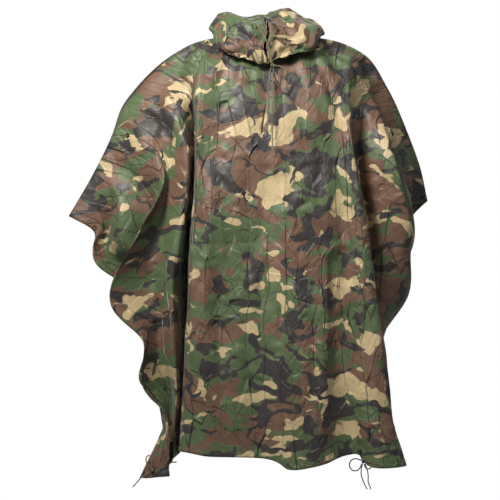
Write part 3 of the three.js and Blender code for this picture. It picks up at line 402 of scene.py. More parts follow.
# Cords: route points in millimetres, from where each comes out to its far end.
NECK_LEFT_STRAND = [
    (-22.9, -111.8, 25.3), (-23.5, -114.4, 27), (-23.8, -117.8, 28.2), (-23.3, -121.6, 28), (-21.9, -125, 26),
    (-19.6, -128, 22.6), (-16.6, -131, 17.4), (-12.9, -134.6, 10.6), (-8.8, -138.4, 3), (-4.7, -142, -5.4),
    (-0.9, -144.4, -14.2), (2.4, -145.4, -24.6), (5, -145.8, -36), (7.5, -146, -48), (10, -146, -58),
    (12.2, -146, -66.8),
]
NECK_RIGHT_STRAND = [
    (23.2, -114.8, 19.7), (23.9, -117.4, 21.3), (24.3, -120.8, 22.2), (23.8, -124.4, 21.4),
    (22, -127.4, 18.6),
    (18.9, -130.4, 13.4), (14.8, -133.4, 6.6), (10.3, -136.4, -1.4), (6.2, -139, -9.8), (3, -140.6, -19),
    (2, -141.2, -30), (4, -141.6, -42), (6.5, -142, -54), (9.6, -142.2, -67.6),
]
NECK_TAIL = [
    (20.9, -144.8, -73), (24, -145.6, -73), (28, -146.6, -73.4), (32, -147.4, -74.2), (36, -148, -75.6),
    (40, -148.5, -78), (43.4, -149, -81.4), (45.6, -149, -86), (46.4, -149, -91), (46.2, -149, -96),
]
NECK_END_LEFT = [
    (9.3, -144.6, -77.6), (7.4, -145, -86), (5.6, -145.6, -97), (4.6, -146, -109), (3.8, -146.4, -120),
    (3.4, -146.8, -131), (3.2, -147.2, -142), (3, -147.6, -153), (2.6, -148, -164), (2.2, -148.5, -175),
    (1.7, -149, -186), (1.2, -149.4, -197), (0.8, -149.8, -208), (0.4, -150.2, -218), (0.8, -150.6, -227),
]
NECK_END_RIGHT = [
    (15, -145, -78.4), (14.4, -145.8, -88), (13.4, -146.6, -101), (12.8, -147.2, -115), (12.8, -147.6, -129),
    (13.2, -148.2, -144), (13.4, -148.8, -159), (12.8, -149.4, -174), (12.2, -150, -189),
    (11.8, -150.6, -204),
    (11.6, -151.2, -219), (12, -151.8, -234), (12.6, -152.4, -250), (12.8, -153, -268), (13, -153.6, -285),
]
RIGHT_TIE_LOOP = [
    (228.3, -123, -1021.6), (227.3, -125.2, -1021.9), (226.9, -127.6, -1023.8), (227.8, -129.2, -1028.2),
    (230.4, -130, -1033.6), (232.4, -130.2, -1037.6), (230.6, -129.6, -1042.4), (225, -130, -1040.4),
    (217, -130, -1038.6), (209, -130, -1041), (203.6, -129, -1047.4), (202.4, -128, -1055.6),
    (205.4, -127, -1063.4), (212, -126.4, -1068.4), (220, -126, -1068.6), (226.6, -126, -1064),
    (230.6, -126, -1057.4), (232.8, -126.6, -1051),
]
RIGHT_TIE_SMALL_LOOP = [
    (242.4, -131.2, -1046), (246.4, -136.4, -1045.4), (251.6, -140.6, -1047.2), (255.4, -141.6, -1052.2),
    (255, -138.4, -1058.6), (251.2, -132.8, -1063), (246, -128.4, -1064.2), (241.4, -127, -1059.6),
    (238.8, -127, -1051.6),
]
RIGHT_TIE_END_LEFT = [
    (234.8, -130.6, -1051.2), (232.6, -131, -1058), (231.2, -131, -1066), (231, -131, -1074),
    (232, -130.6, -1082), (234.6, -130, -1090), (238, -129.6, -1098), (241.6, -129.4, -1106),
    (246, -129.2, -1114),
]
RIGHT_TIE_END_RIGHT = [
    (240, -132, -1050.2), (243.2, -133.4, -1057.6), (245.6, -133.6, -1066), (247.6, -133, -1075),
    (248.4, -132.4, -1084), (248, -132, -1092), (249.6, -131.6, -1100), (252.6, -131.2, -1107),
    (255, -131, -1114),
]
LEFT_TIE_LOOP = [
    (-290.4, -70.6, -1069.2), (-294.4, -71.4, -1064.8), (-298.6, -72, -1059), (-301.4, -72.2, -1052.4),
    (-301.8, -72, -1045.4), (-299, -71.8, -1039.4), (-293.8, -71.6, -1037.6), (-289.6, -71.4, -1041.4),
    (-288.4, -71.2, -1048), (-288.2, -71, -1055), (-287.6, -70.8, -1062), (-286.6, -70.4, -1068.4),
]
LEFT_TIE_TAIL = [
    (-291.8, -70.6, -1077.2), (-296.4, -71.6, -1080), (-302, -72.4, -1083), (-307.6, -72.6, -1086.6),
    (-313, -72.6, -1091.4), (-318.6, -72.4, -1097.6), (-324.4, -72.2, -1104.4), (-330, -72, -1111),
    (-335, -71.8, -1117),
]
LEFT_TIE_STUB = [
    (-252.4, -49.8, -1069.2), (-252.1, -49.5, -1066.2), (-249.4, -48.8, -1062.4), (-245, -48.6, -1059),
    (-239, -49, -1057.2), (-232, -49.6, -1056.6), (-226, -50, -1056.6),
]
# name, route, colour of the cord, far end, how it lies, the CAD nodes it stands for
CORDS = [
    ("neck_cord_left", NECK_LEFT_STRAND, "olive", "knot", "hanging", ("neck_cord_left_strand",)),
    ("neck_cord_right", NECK_RIGHT_STRAND, "olive", "knot", "hanging", ("neck_cord_right_strand",)),
    ("neck_cord_tail_end", NECK_TAIL, "olive", "bare", "hanging", ("neck_cord_tail",)),
    ("neck_cord_free_end_left", NECK_END_LEFT, "olive", "bare", "hanging", ("neck_cord_end_left",)),
    ("neck_cord_free_end_right", NECK_END_RIGHT, "olive", "bare", "hanging", ("neck_cord_end_right",)),
    ("right_tie_loop", RIGHT_TIE_LOOP, "black", "knot", "hanging", ("right_tie_stub", "right_tie_bow")),
    ("right_tie_small_loop", RIGHT_TIE_SMALL_LOOP, "black", "knot", "hanging", ("right_tie_small_bow",)),
    ("right_tie_free_end_left", RIGHT_TIE_END_LEFT, "olive", "bare", "hanging", ("right_tie_end_left",)),
    ("right_tie_free_end_right", RIGHT_TIE_END_RIGHT, "olive", "bare", "hanging", ("right_tie_end_right",)),
    ("left_tie_cord_loop", LEFT_TIE_LOOP, "olive", "knot", "hanging", ("left_tie_loop",)),
    ("left_tie_free_end", LEFT_TIE_TAIL, "olive", "bare", "hanging", ("left_tie_tail",)),
    ("left_tie_black_end", LEFT_TIE_STUB, "black", "bare", "loose", ("left_tie_stub",)),
]
# name, centre, half sizes, colour, the CAD node
KNOTS = [
    ("neck_knot", (13.5, -144.5, -72.5), (7, 5, 5.5), "olive", "neck_cord_knot"),
    ("right_corner_knot", (236.5, -129.5, -1046), (5.2, 4.4, 5), "black", "right_tie_knot"),
    ("left_corner_knot", (-287.6, -70, -1073.9), (5, 4.2, 4.8), "olive", "left_tie_knot"),
]
EYELETS = [
    "hood_eyelet_left", "hood_eyelet_right", "wing_eyelet_left", "wing_eyelet_right",
    "corner_eyelet_front_left", "corner_eyelet_front_right", "corner_eyelet_back_left",
    "corner_eyelet_back_right",
]
SNAPS = ["arm_snap_left", "arm_snap_right"]

# How much of a stitch's pitch its thread shows on top.
STITCH_SHARE = 0.72
# How far the casing's stitches lie in from the hood's front edge.
CASING = 20.0
# Heights between which the hood's lip is tucked up beside the cord.
HOOD_TUCK = (-45.0, 10.0)
# Flat strips between the long packing creases: where they meet and how far out of the cloth.
STRIP_PLACES = [-190, -150, -95, -13, 70, 145, 190, 235, 300]
STRIP_DEPTHS = [0, 12, 2, -10, 2, 12, -4, 10, 0]


def srgb(red, green, blue):
    """A colour given as 0 to 255, as Blender's linear colour."""
    def one(value):
        share = value / 255
        return share / 12.92 if share <= 0.04045 else ((share + 0.055) / 1.055) ** 2.4
    return (one(red), one(green), one(blue), 1.0)


def colour_prop(name, description, default):
    return bpy.props.FloatVectorProperty(
        name=name, description=description, subtype="COLOR", size=4, min=0, max=1, default=default
    )


def length_prop(name, description, default):
    return bpy.props.FloatProperty(
        name=name, description=description, default=default, min=0, unit="LENGTH", subtype="DISTANCE"
    )


class PonchoCloth(bpy.types.PropertyGroup):
    """Sizes and colours of the printed nylon."""

    wall: length_prop("Thickness", "How thick the nylon shell is drawn", 0.0006)
    crumple: bpy.props.FloatProperty(
        name="Crumple", description="Depth of the facets left by folding it away", default=1.0, min=0, max=2
    )
    crease: bpy.props.FloatProperty(
        name="Creases", description="Depth of the creases placed by hand", default=1.7, min=0, max=2
    )
    hem: length_prop("Hem", "Width of the turned hem", 0.015)
    stitch: length_prop("Stitch", "Length of one stitch", 0.0032)
    green: colour_prop("Green", "The print's ground", srgb(78, 94, 64))
    brown: colour_prop("Brown", "The print's brown", srgb(104, 79, 65))
    tan: colour_prop("Tan", "The print's light patches", srgb(180, 162, 126))
    black: colour_prop("Black", "The print's dark patches", srgb(52, 49, 50))
    inside: colour_prop("Inside", "The coating on the back of the cloth", srgb(70, 66, 54))
    thread: colour_prop("Thread", "The sewing thread", srgb(60, 62, 44))


class PonchoCords(bpy.types.PropertyGroup):
    """Sizes and colours of cords and fittings."""

    diameter: length_prop("Cord", "Diameter of the cords", 0.003)
    olive: colour_prop("Olive cord", "Colour of the braided cords", srgb(118, 112, 84))
    black: colour_prop("Black cord", "Colour of the ties", srgb(24, 23, 22))
    brass: colour_prop("Brass", "Colour of the darkened eyelets", srgb(70, 62, 44))


class PonchoStudio(bpy.types.PropertyGroup):
    """The camera, floor and lights."""

    distance: length_prop("Distance", "From the camera to the middle of the poncho", 4.6)
    width: length_prop("Width", "Width that the picture takes in", 1.25)
    floor: length_prop("Floor", "Depth of the floor under the neck", 1.45)
    sky: bpy.props.FloatProperty(name="Room light", description="Even light all round", default=0.16, min=0)
    key: bpy.props.FloatProperty(name="Key light", description="Large soft light", default=12, min=0,
                                 unit="POWER")
    fill: bpy.props.FloatProperty(name="Fill light", description="Weaker soft light", default=30, min=0,
                                  unit="POWER")


def through(knots, values, at):
    """The smooth curve through values set at rising knots; the values may be points or whole rows."""
    knots = np.asarray(knots, float)
    values = np.asarray(values, float)
    at = np.atleast_1d(np.asarray(at, float))
    tail = (1,) * (values.ndim - 1)
    spans = np.diff(knots)
    pace = np.diff(values, axis=0) / spans.reshape(-1, *tail)
    slope = np.empty_like(values)
    slope[0] = pace[0]
    slope[-1] = pace[-1]
    before = spans[:-1].reshape(-1, *tail)
    after = spans[1:].reshape(-1, *tail)
    slope[1:-1] = (pace[:-1] * after + pace[1:] * before) / (before + after)
    i = np.clip(np.searchsorted(knots, at, side="left") - 1, 0, len(spans) - 1)
    s = ((at - knots[i]) / spans[i]).reshape(-1, *tail)
    span = spans[i].reshape(-1, *tail)
    rise = s * s * (3 - 2 * s)
    swing = slope[i] * s * (1 - s) ** 2 - slope[i + 1] * s * s * (1 - s)
    return values[i] + (values[i + 1] - values[i]) * rise + span * swing


def neck_point(angle):
    """The oval of the neck hole, angle 0 at the front."""
    ahead = math.cos(angle)
    depth = NECK_FRONT if ahead > 0 else NECK_BACK
    dip = NECK_FRONT_DIP if ahead > 0 else NECK_BACK_DIP
    return [NECK_HALF_WIDTH * math.sin(angle), -depth * ahead, NECK_SIDE_HEIGHT - dip * ahead * ahead]


def top_point(cloth, face):
    """The top edge of a panel: the ridge, or between the neck points its half of the neck hole."""
    if abs(cloth) >= NECK_CLOTH:
        rows = np.array(RIDGE_LEFT if cloth < 0 else RIDGE_RIGHT, float)
        return through(rows[:, 0], rows[:, 1:], cloth)[0]
    turn = cloth / NECK_CLOTH * math.pi / 2
    return np.array(neck_point(turn if face < 0 else math.pi - turn))


def panel_form(folds, bags, face, across, down):
    """A panel's outer surface over (down, across), and each point's place in the cloth."""
    places = np.array([row[0] for row in folds], float)
    hems = np.array([row[1] for row in folds], float)
    knots = [0.0, *LEVELS]
    lines = []
    for cloth, _, hem_z, xs, ys in folds:
        top = top_point(cloth, face)
        heights = [top[2] + (hem_z - top[2]) * level for level in knots]
        line = np.column_stack([[top[0], *xs], [top[1], *ys], heights])
        lines.append(through(knots, line, down))
    i = np.clip(np.searchsorted(places, across, side="left") - 1, 0, len(places) - 2)
    order = i + (across - places[i]) / (places[i + 1] - places[i])
    net = through(np.arange(len(places)), np.array(lines), order)
    hold = np.clip(1 - down / LEVELS[1], 0, None) ** 2
    tops = np.array([top_point(cloth, face) for cloth in across])
    net += hold[None, :, None] * (tops - net[:, 0])[:, None, :]
    for cloth, drop, wide, tall, move_x, move_y in bags:
        share = np.exp(-((across[:, None] - cloth) / wide) ** 2 - ((down[None, :] - drop) / tall) ** 2)
        net[:, :, 0] += move_x * share
        net[:, :, 1] += move_y * share
    grid = net.transpose(1, 0, 2)
    at_hem = np.interp(across, places, hems)
    place = across[None, :] + (at_hem - across)[None, :] * down[:, None]
    return grid, np.dstack([place, cloth_length(grid, across)])


def cloth_length(grid, across):
    """How far down the cloth each point is: level on the body, following the shoulder line on the wings."""
    steps = np.linalg.norm(np.diff(grid, axis=0), axis=2)
    length = np.vstack([np.zeros(len(across)), np.cumsum(steps, axis=0)])
    reach = np.arange(-45, 46)
    soft = np.exp(-((reach / 18) ** 2))
    padded = np.pad(length, ((0, 0), (45, 45)), mode="edge")
    length = np.array([np.convolve(row, soft / soft.sum(), mode="valid") for row in padded])
    top = grid[0, :, 2]
    wing = 0.75 * smooth_step(230, 480, np.abs(across))
    return (length - 0.55 * top) * wing - grid[:, :, 2] * (1 - wing)


def hood_form(rows, side, angles, shares):
    """Half the hood's outer surface over (shares, angles), and each point's place in the cloth."""
    stations = through(np.radians(HOOD_ANGLES), np.array(rows, float), angles)
    stations[:, :, 0] *= 1 - 0.65 * np.exp(-((angles / 0.12) ** 2))[:, None]
    base = np.array([neck_point(side * angle) for angle in angles])
    base[:, 2] += 1.0
    radial = np.column_stack([side * np.sin(angles), -np.cos(angles)])
    base[:, :2] += radial * 1.8
    sections = np.concatenate([base[:, None, :], stations], axis=1).transpose(1, 0, 2)
    grid = through([0.0, *HOOD_LEVELS], sections, shares)
    grid[:, :, 0] = side * np.maximum(np.abs(grid[:, :, 0]), 0.15)
    steps = np.linalg.norm(np.diff(grid, axis=0), axis=2)
    length = np.vstack([np.zeros(len(angles)), np.cumsum(steps, axis=0)])
    wide = np.broadcast_to(side * angles * 150, grid.shape[:2])
    return grid, np.dstack([wide, -length])


def outward(grid, turn):
    """The unit normals of a grid of points."""
    along = np.gradient(grid, axis=1)
    down = np.gradient(grid, axis=0)
    normals = np.cross(along, down) * turn
    return normals / np.maximum(np.linalg.norm(normals, axis=2, keepdims=True), 1e-9)


def random_table(seed):
    return np.random.default_rng(seed).uniform(-1, 1, (64, 64))


def soft_noise(u, v, size, seed):
    """Rolling noise of that size in millimetres, from -1 to 1."""
    table = random_table(seed)
    a = u / size + 31.7
    b = v / size + 17.3
    i = np.floor(a).astype(int)
    j = np.floor(b).astype(int)
    s = a - i
    t = b - j
    s = s * s * (3 - 2 * s)
    t = t * t * (3 - 2 * t)
    def at(p, q):
        return table[p % 64, q % 64]
    low = at(i, j) * (1 - s) + at(i + 1, j) * s
    high = at(i, j + 1) * (1 - s) + at(i + 1, j + 1) * s
    return low * (1 - t) + high * t


def facets(u, v, size, seed):
    """The height of a crumpled sheet: flat three-sided facets between bent rows of points, from -1 to 1."""
    table = random_table(seed)
    bend = size * 0.55
    a = (u + bend * soft_noise(u, v, size * 1.9, seed + 1)) / size
    b = (v + bend * soft_noise(u, v, size * 1.7, seed + 2)) / size
    a, b = a * 0.86 + b * 0.5, b * 0.86 - a * 0.5
    i = np.floor(a).astype(int)
    j = np.floor(b).astype(int)
    s = a - i
    t = b - j
    def at(p, q):
        return table[p % 64, q % 64]
    corner = at(i, j)
    far = at(i + 1, j + 1)
    lower = corner + s * (at(i + 1, j) - corner) + t * (far - at(i + 1, j))
    upper = corner + t * (at(i, j + 1) - corner) + s * (far - at(i, j + 1))
    return np.where(s > t, lower, upper)


def crumple(u, v, seed):
    """Facets of three sizes, in millimetres of height, deeper in some places than in others."""
    patchy = 0.65 + 0.35 * soft_noise(u, v, 150, seed + 20)
    return patchy * (
        8.0 * facets(u, v * 0.55, 112, seed)
        + 3.6 * facets(u, v * 0.7, 52, seed + 5)
        + 1.3 * facets(u, v, 25, seed + 9)
    )


def crease_lines(x, z, creases):
    """The height that straight creases give at front-view places x, z."""
    height = np.zeros_like(x)
    for x1, z1, x2, z2, depth, wide in creases:
        run = math.hypot(x2 - x1, z2 - z1)
        along = ((x - x1) * (x2 - x1) + (z - z1) * (z2 - z1)) / run
        off = ((x - x1) * (z2 - z1) - (z - z1) * (x2 - x1)) / run
        off = off + 0.02 * run * np.sin(along / run * 5.0 + x1)
        share = np.clip(along / run, 0, 1)
        fade = np.clip(1 - np.abs(share - 0.5) * 2, 0, 1) ** 0.5
        inside = (along > 0) & (along < run)
        height += np.where(inside, depth * fade * np.exp(-np.abs(off / (wide * 1.3)) ** 1.4), 0)
    return height


def lap_steps(x, z, laps):
    """How far each front-view place steps back behind an edge that lies over it."""
    back = np.zeros_like(x)
    for line, step, reach in laps:
        line = np.array(line[::-1], float)
        edge = np.interp(z, line[:, 1], line[:, 0])
        ends = smooth_step(line[0, 1], line[0, 1] + 60, z) * smooth_step(line[-1, 1], line[-1, 1] - 40, z)
        off = x - edge
        back += step * ends * smooth_step(-2.5, 5.5, off) * np.exp(-((np.maximum(off, 0) / reach) ** 2))
    return back


def star_rays(stars):
    """The short creases that run out from each star crumple."""
    rays = []
    draw = np.random.default_rng(41)
    for x, z, reach, depth in stars:
        turn = draw.uniform(0, math.pi)
        for k in range(6):
            angle = turn + k * math.pi / 3 + draw.uniform(-0.25, 0.25)
            run = reach * draw.uniform(0.6, 1.25)
            rays.append((
                x - 0.1 * run * math.cos(angle), z - 0.1 * run * math.sin(angle),
                x + run * math.cos(angle), z + run * math.sin(angle),
                depth * (1 if k % 2 else -1) * draw.uniform(0.7, 1.1), 6,
            ))
    return rays


def print_lean(x, z, patches, seen):
    """How much the print leans to brown, tan and black at front-view places; green leans to none."""
    near = {colour: np.full(x.shape, -1.0) for colour in ("brown", "tan", "black", "green")}
    x, z = (
        x + 26 * soft_noise(x, z, 44, 301) + 15 * soft_noise(x, z, 20, 302),
        z + 20 * soft_noise(x, z, 40, 303) + 12 * soft_noise(x, z, 19, 304),
    )
    for colour, middle_x, middle_z, wide, tall, tilt in patches:
        turn = math.radians(tilt)
        along = (x - middle_x) * math.cos(turn) + (z - middle_z) * math.sin(turn)
        off = (z - middle_z) * math.cos(turn) - (x - middle_x) * math.sin(turn)
        near[colour] = np.maximum(near[colour], 1 - np.hypot(along / wide, off / tall))
    lean = np.zeros((*x.shape, 3))
    for k, colour in enumerate(("brown", "tan", "black")):
        others = np.max([near[other] for other in near if other != colour], axis=0)
        lean[:, :, k] = 0.4 * np.clip(near[colour], -0.2, 1) + 0.06 - 0.26 * np.clip(others + 0.1, 0, 1)
    return lean * seen[:, :, None]


def smooth_step(low, high, value):
    share = np.clip((value - low) / (high - low), 0, 1)
    return share * share * (3 - 2 * share)


def neck_gathers(x, y, z, depth):
    """Gathers that run down and out from the neck seam."""
    angle = np.arctan2(x / NECK_HALF_WIDTH, -y / NECK_FRONT)
    reach = np.hypot(x / NECK_HALF_WIDTH, np.minimum(z + 50, 0) / 120)
    fade = np.exp(-((np.maximum(-z - 20, 0)) / 90) ** 2)
    wave = np.sin(angle * 23 + 1.3 * np.sin(angle * 5)) + 0.5 * np.sin(angle * 41 + 2)
    return depth * fade * wave * smooth_step(0.2, 0.9, reach + 0.6)


def fitting_place(node, facing):
    """The middle and the outward axis of a ring-shaped CAD fitting, in millimetres."""
    points = np.array([v.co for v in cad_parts[node].data.vertices]) / MM
    middle = (points.max(axis=0) + points.min(axis=0)) / 2
    middle = points.mean(axis=0) * 0.5 + middle * 0.5
    axis = np.linalg.svd(points - points.mean(axis=0))[2][2]
    thick = (points @ axis).max() - (points @ axis).min()
    return middle, axis * (1 if axis[1] * facing > 0 else -1), thick


def all_fittings():
    places = {}
    for node in EYELETS + SNAPS:
        places[node] = fitting_place(node, 1 if "back" in node else -1)
    return places


FITTINGS = all_fittings()


def flatten_under_fittings(grid, names, near=13.0, far=34.0):
    """Lays the cloth flat where a fitting is clamped on it."""
    for name in names:
        middle, axis, thick = FITTINGS[name]
        seat = middle - axis * (thick / 2 + 0.35)
        offset = grid - seat
        height = offset @ axis
        side = np.sqrt(np.maximum((offset ** 2).sum(axis=2) - height ** 2, 0))
        share = 1 - smooth_step(near, far, side)
        share = np.where(np.abs(height) < 30, share, 0)
        grid -= (share * height)[:, :, None] * axis
    return grid


def keep_behind_cords(grid, routes, gap=2.6):
    """Moves cloth back where it would lie in front of a cord hanging on it."""
    for route in routes:
        line = through(np.arange(len(route)), np.array(route, float), np.linspace(0, len(route) - 1, 80))
        for x, y, z in line:
            side = np.hypot(grid[:, :, 0] - x, grid[:, :, 2] - z)
            close = (side < 16) & (grid[:, :, 1] < y + 25)
            wanted = y + gap - np.maximum(side - 3, 0) * 0.25
            grid[:, :, 1] = np.where(close & (grid[:, :, 1] < wanted), wanted, grid[:, :, 1])
    return grid


def shell(name, grid, turn, wall, place, materials, bias=None):
    """A closed thin shell on a grid of outer points; the second material is the back of the cloth."""
    rows, columns = grid.shape[:2]
    inner = grid - outward(grid, turn) * wall
    points = np.concatenate([grid.reshape(-1, 3), inner.reshape(-1, 3)]) * MM
    index = np.arange(rows * columns).reshape(rows, columns)
    a, b, c, d = index[:-1, :-1], index[:-1, 1:], index[1:, 1:], index[1:, :-1]
    quads = np.stack([a, b, c, d], axis=-1).reshape(-1, 4)
    layer = rows * columns
    if turn < 0:
        quads = quads[:, ::-1]
    rim = np.concatenate([index[0, :-1], index[:-1, -1], index[-1, :0:-1], index[:0:-1, 0]])
    after = np.roll(rim, -1)
    edge = np.stack([after, rim, rim + layer, after + layer], axis=-1)
    if turn < 0:
        edge = edge[:, ::-1]
    faces = np.concatenate([quads, quads[:, ::-1] + layer, edge])
    mesh = bpy.data.meshes.new(name)
    mesh.from_pydata(points.tolist(), [], faces.tolist())
    for material in materials:
        mesh.materials.append(material)
    back_of = np.zeros(len(faces), np.int32)
    back_of[len(quads):2 * len(quads)] = 1
    mesh.polygons.foreach_set("material_index", back_of)
    mesh.polygons.foreach_set("use_smooth", np.ones(len(faces), bool))
    uv = mesh.uv_layers.new(name="cloth")
    flat = np.concatenate([place.reshape(-1, 2)] * 2) * MM
    uv.data.foreach_set("uv", flat[faces.ravel()].ravel())
    lean = mesh.attributes.new("print_lean", "FLOAT_VECTOR", "POINT")
    leaning = np.zeros((2 * layer, 3)) if bias is None else np.concatenate([bias.reshape(-1, 3)] * 2)
    lean.data.foreach_set("vector", leaning.ravel())
    mesh.update()
    piece = bpy.data.objects.new(name, mesh)
    bpy.context.scene.collection.objects.link(piece)
    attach(piece, "root")
    return piece


def put(tree, kind, inputs=None, **settings):
    """A shader node with its settings, and its inputs given as values or as sockets to link."""
    made = tree.nodes.new(kind)
    for key, value in settings.items():
        setattr(made, key, value)
    for key, value in (inputs or {}).items():
        if isinstance(value, bpy.types.NodeSocket):
            tree.links.new(value, made.inputs[key])
        else:
            made.inputs[key].default_value = value
    return made


def maths(tree, operation, *values):
    made = put(tree, "ShaderNodeMath", operation=operation)
    for k, value in enumerate(values):
        if isinstance(value, bpy.types.NodeSocket):
            tree.links.new(value, made.inputs[k])
        else:
            made.inputs[k].default_value = value
    return made.outputs[0]


def span(tree, value, low, high, to_low=0.0, to_high=1.0):
    made = put(tree, "ShaderNodeMapRange", {
        "Value": value, "From Min": low, "From Max": high, "To Min": to_low, "To Max": to_high,
    })
    return made.outputs["Result"]


def blend_colour(tree, share, first, second):
    made = put(tree, "ShaderNodeMix", data_type="RGBA")
    for key, value in ((0, share), (6, first), (7, second)):
        if isinstance(value, bpy.types.NodeSocket):
            tree.links.new(value, made.inputs[key])
        else:
            made.inputs[key].default_value = value
    return made.outputs[2]


def group(name, inputs, outputs):
    """An empty shader group with named sockets, its tree, its inputs and its output node."""
    tree = bpy.data.node_groups.new(name, "ShaderNodeTree")
    for label, kind, default in inputs:
        socket = tree.interface.new_socket(name=label, in_out="INPUT", socket_type=kind)
        if default is not None:
            socket.default_value = default
    for label, kind in outputs:
        tree.interface.new_socket(name=label, in_out="OUTPUT", socket_type=kind)
    start = tree.nodes.new("NodeGroupInput")
    end = tree.nodes.new("NodeGroupOutput")
    return tree, start.outputs, end.inputs


def noise_of(tree, where, scale, detail=2.0, rough=0.5, distort=0.0):
    made = put(tree, "ShaderNodeTexNoise", {
        "Vector": where, "Scale": scale, "Detail": detail, "Roughness": rough, "Distortion": distort,
    })
    return made.outputs["Fac"]


def moved(tree, where, offset, scale=(1, 1, 1)):
    made = put(tree, "ShaderNodeMapping", {"Vector": where, "Location": offset, "Scale": scale})
    return made.outputs["Vector"]


def make_print_group():
    """Four printed colours in wavy patches that run across the cloth."""
    tree, start, end = group(
        "woodland print",
        [("Place", "NodeSocketVector", None), ("Lean", "NodeSocketVector", None),
         ("Ground", "NodeSocketColor", None), ("Brown", "NodeSocketColor", None),
         ("Tan", "NodeSocketColor", None), ("Black", "NodeSocketColor", None)],
        [("Color", "NodeSocketColor")],
    )
    wobble = put(tree, "ShaderNodeTexNoise", {"Vector": start["Place"], "Scale": 15.0, "Detail": 2.0})
    centred = put(tree, "ShaderNodeVectorMath", {0: wobble.outputs["Color"], 1: (0.5, 0.5, 0.5)},
                  operation="SUBTRACT")
    pushed = put(tree, "ShaderNodeVectorMath", {0: centred.outputs[0], 1: (0.1, 0.08, 0)},
                 operation="MULTIPLY")
    place = put(tree, "ShaderNodeVectorMath", {0: start["Place"], 1: pushed.outputs[0]}, operation="ADD")
    place = place.outputs[0]
    lean = put(tree, "ShaderNodeSeparateXYZ", {"Vector": start["Lean"]})
    masks = []
    for k, (offset, scale, level, branching) in enumerate((
        ((1.7, 0.4, 0), (4.8, 9.0, 1), 0.49, 0.0),
        ((5.3, 2.9, 0), (6.0, 11.0, 1), 0.62, 0.0),
        ((9.1, 7.7, 0), (6.2, 10.0, 1), 0.655, 0.5),
    )):
        field = noise_of(tree, moved(tree, place, offset, scale), 1.0, 2.0, 0.62, 0.5)
        field = span(tree, field, 0.0, 1.0, -0.28, 1.28)
        if branching:
            ridge = noise_of(tree, moved(tree, place, (3.3, 8.1, 0), (9.5, 12.0, 1)), 1.0, 1.0, 0.5, 0.3)
            ridge = maths(tree, "ABSOLUTE", maths(tree, "SUBTRACT", ridge, 0.5))
            ridge = span(tree, ridge, 0.0, 0.2, 1.0, 0.1)
            field = maths(tree, "ADD", maths(tree, "MULTIPLY", field, 1 - branching),
                          maths(tree, "MULTIPLY", ridge, branching))
        field = maths(tree, "ADD", field, lean.outputs[k])
        masks.append(span(tree, field, level - 0.01, level + 0.01))
    colour = blend_colour(tree, masks[0], start["Ground"], start["Brown"])
    colour = blend_colour(tree, masks[1], colour, start["Tan"])
    colour = blend_colour(tree, masks[2], colour, start["Black"])
    tree.links.new(colour, end["Color"])
    return tree


def make_crumple_group():
    """Small tilted facets and straight creases, too narrow for the mesh, deeper in some patches."""
    tree, start, end = group(
        "crumple",
        [("Place", "NodeSocketVector", None), ("Size", "NodeSocketFloat", 0.02)],
        [("Height", "NodeSocketFloat")],
    )
    scale = maths(tree, "DIVIDE", 1.0, start["Size"])
    total = None
    for turn, long, times, low, deep in ((0.06, 4.2, 0.95, 0.34, 1.1), (0.8, 2.2, 1.25, 0.46, 0.75),
                                         (-0.55, 2.4, 2.1, 0.44, 0.5)):
        turned = put(tree, "ShaderNodeVectorRotate", {"Vector": start["Place"], "Angle": turn},
                     rotation_type="Z_AXIS")
        where = moved(tree, turned.outputs[0], (turn, long, 0), (1.0, 1.0 / long, 1.0))
        cells = put(tree, "ShaderNodeTexVoronoi", {
            "Vector": where, "Scale": maths(tree, "MULTIPLY", scale, times), "Smoothness": 0.22,
        }, feature="SMOOTH_F1", voronoi_dimensions="2D")
        offset = put(tree, "ShaderNodeVectorMath", {0: where, 1: cells.outputs["Position"]},
                     operation="SUBTRACT")
        lean = put(tree, "ShaderNodeVectorMath", {0: cells.outputs["Color"], 1: (0.5, 0.5, 0.5)},
                   operation="SUBTRACT")
        tilt = put(tree, "ShaderNodeVectorMath", {0: offset.outputs[0], 1: lean.outputs[0]},
                   operation="DOT_PRODUCT")
        field = noise_of(tree, moved(tree, start["Place"], (times * 3, long, 0)), 7.0, 2.0)
        patch = span(tree, field, low, low + 0.2, 0.12, deep)
        part = maths(tree, "MULTIPLY", tilt.outputs["Value"], patch)
        total = part if total is None else maths(tree, "ADD", total, part)
    tree.links.new(total, end["Height"])
    return tree


def make_weave_group():
    """Plain weave: the threads of a cloth or the plait of a cord."""
    tree, start, end = group(
        "weave",
        [("Place", "NodeSocketVector", None), ("Across", "NodeSocketFloat", 3000.0),
         ("Along", "NodeSocketFloat", 3000.0)],
        [("Height", "NodeSocketFloat")],
    )
    parts = put(tree, "ShaderNodeSeparateXYZ", {"Vector": start["Place"]})
    across = maths(tree, "SINE", maths(tree, "MULTIPLY", parts.outputs["X"], start["Across"]))
    along = maths(tree, "SINE", maths(tree, "MULTIPLY", parts.outputs["Y"], start["Along"]))
    height = span(tree, maths(tree, "MULTIPLY", across, along), -1.0, 1.0)
    tree.links.new(height, end["Height"])
    return tree


def make_wear_group():
    """Uneven rubbing and dust, as a mask."""
    tree, start, end = group(
        "wear",
        [("Place", "NodeSocketVector", None), ("Scale", "NodeSocketFloat", 200.0),
         ("Amount", "NodeSocketFloat", 0.5)],
        [("Mask", "NodeSocketFloat")],
    )
    field = noise_of(tree, start["Place"], start["Scale"], 4.0, 0.65)
    low = maths(tree, "SUBTRACT", 0.75, maths(tree, "MULTIPLY", start["Amount"], 0.4))
    tree.links.new(span(tree, field, low, maths(tree, "ADD", low, 0.15)), end["Mask"])
    return tree


def shared(name, maker):
    return bpy.data.node_groups.get(name) or maker()


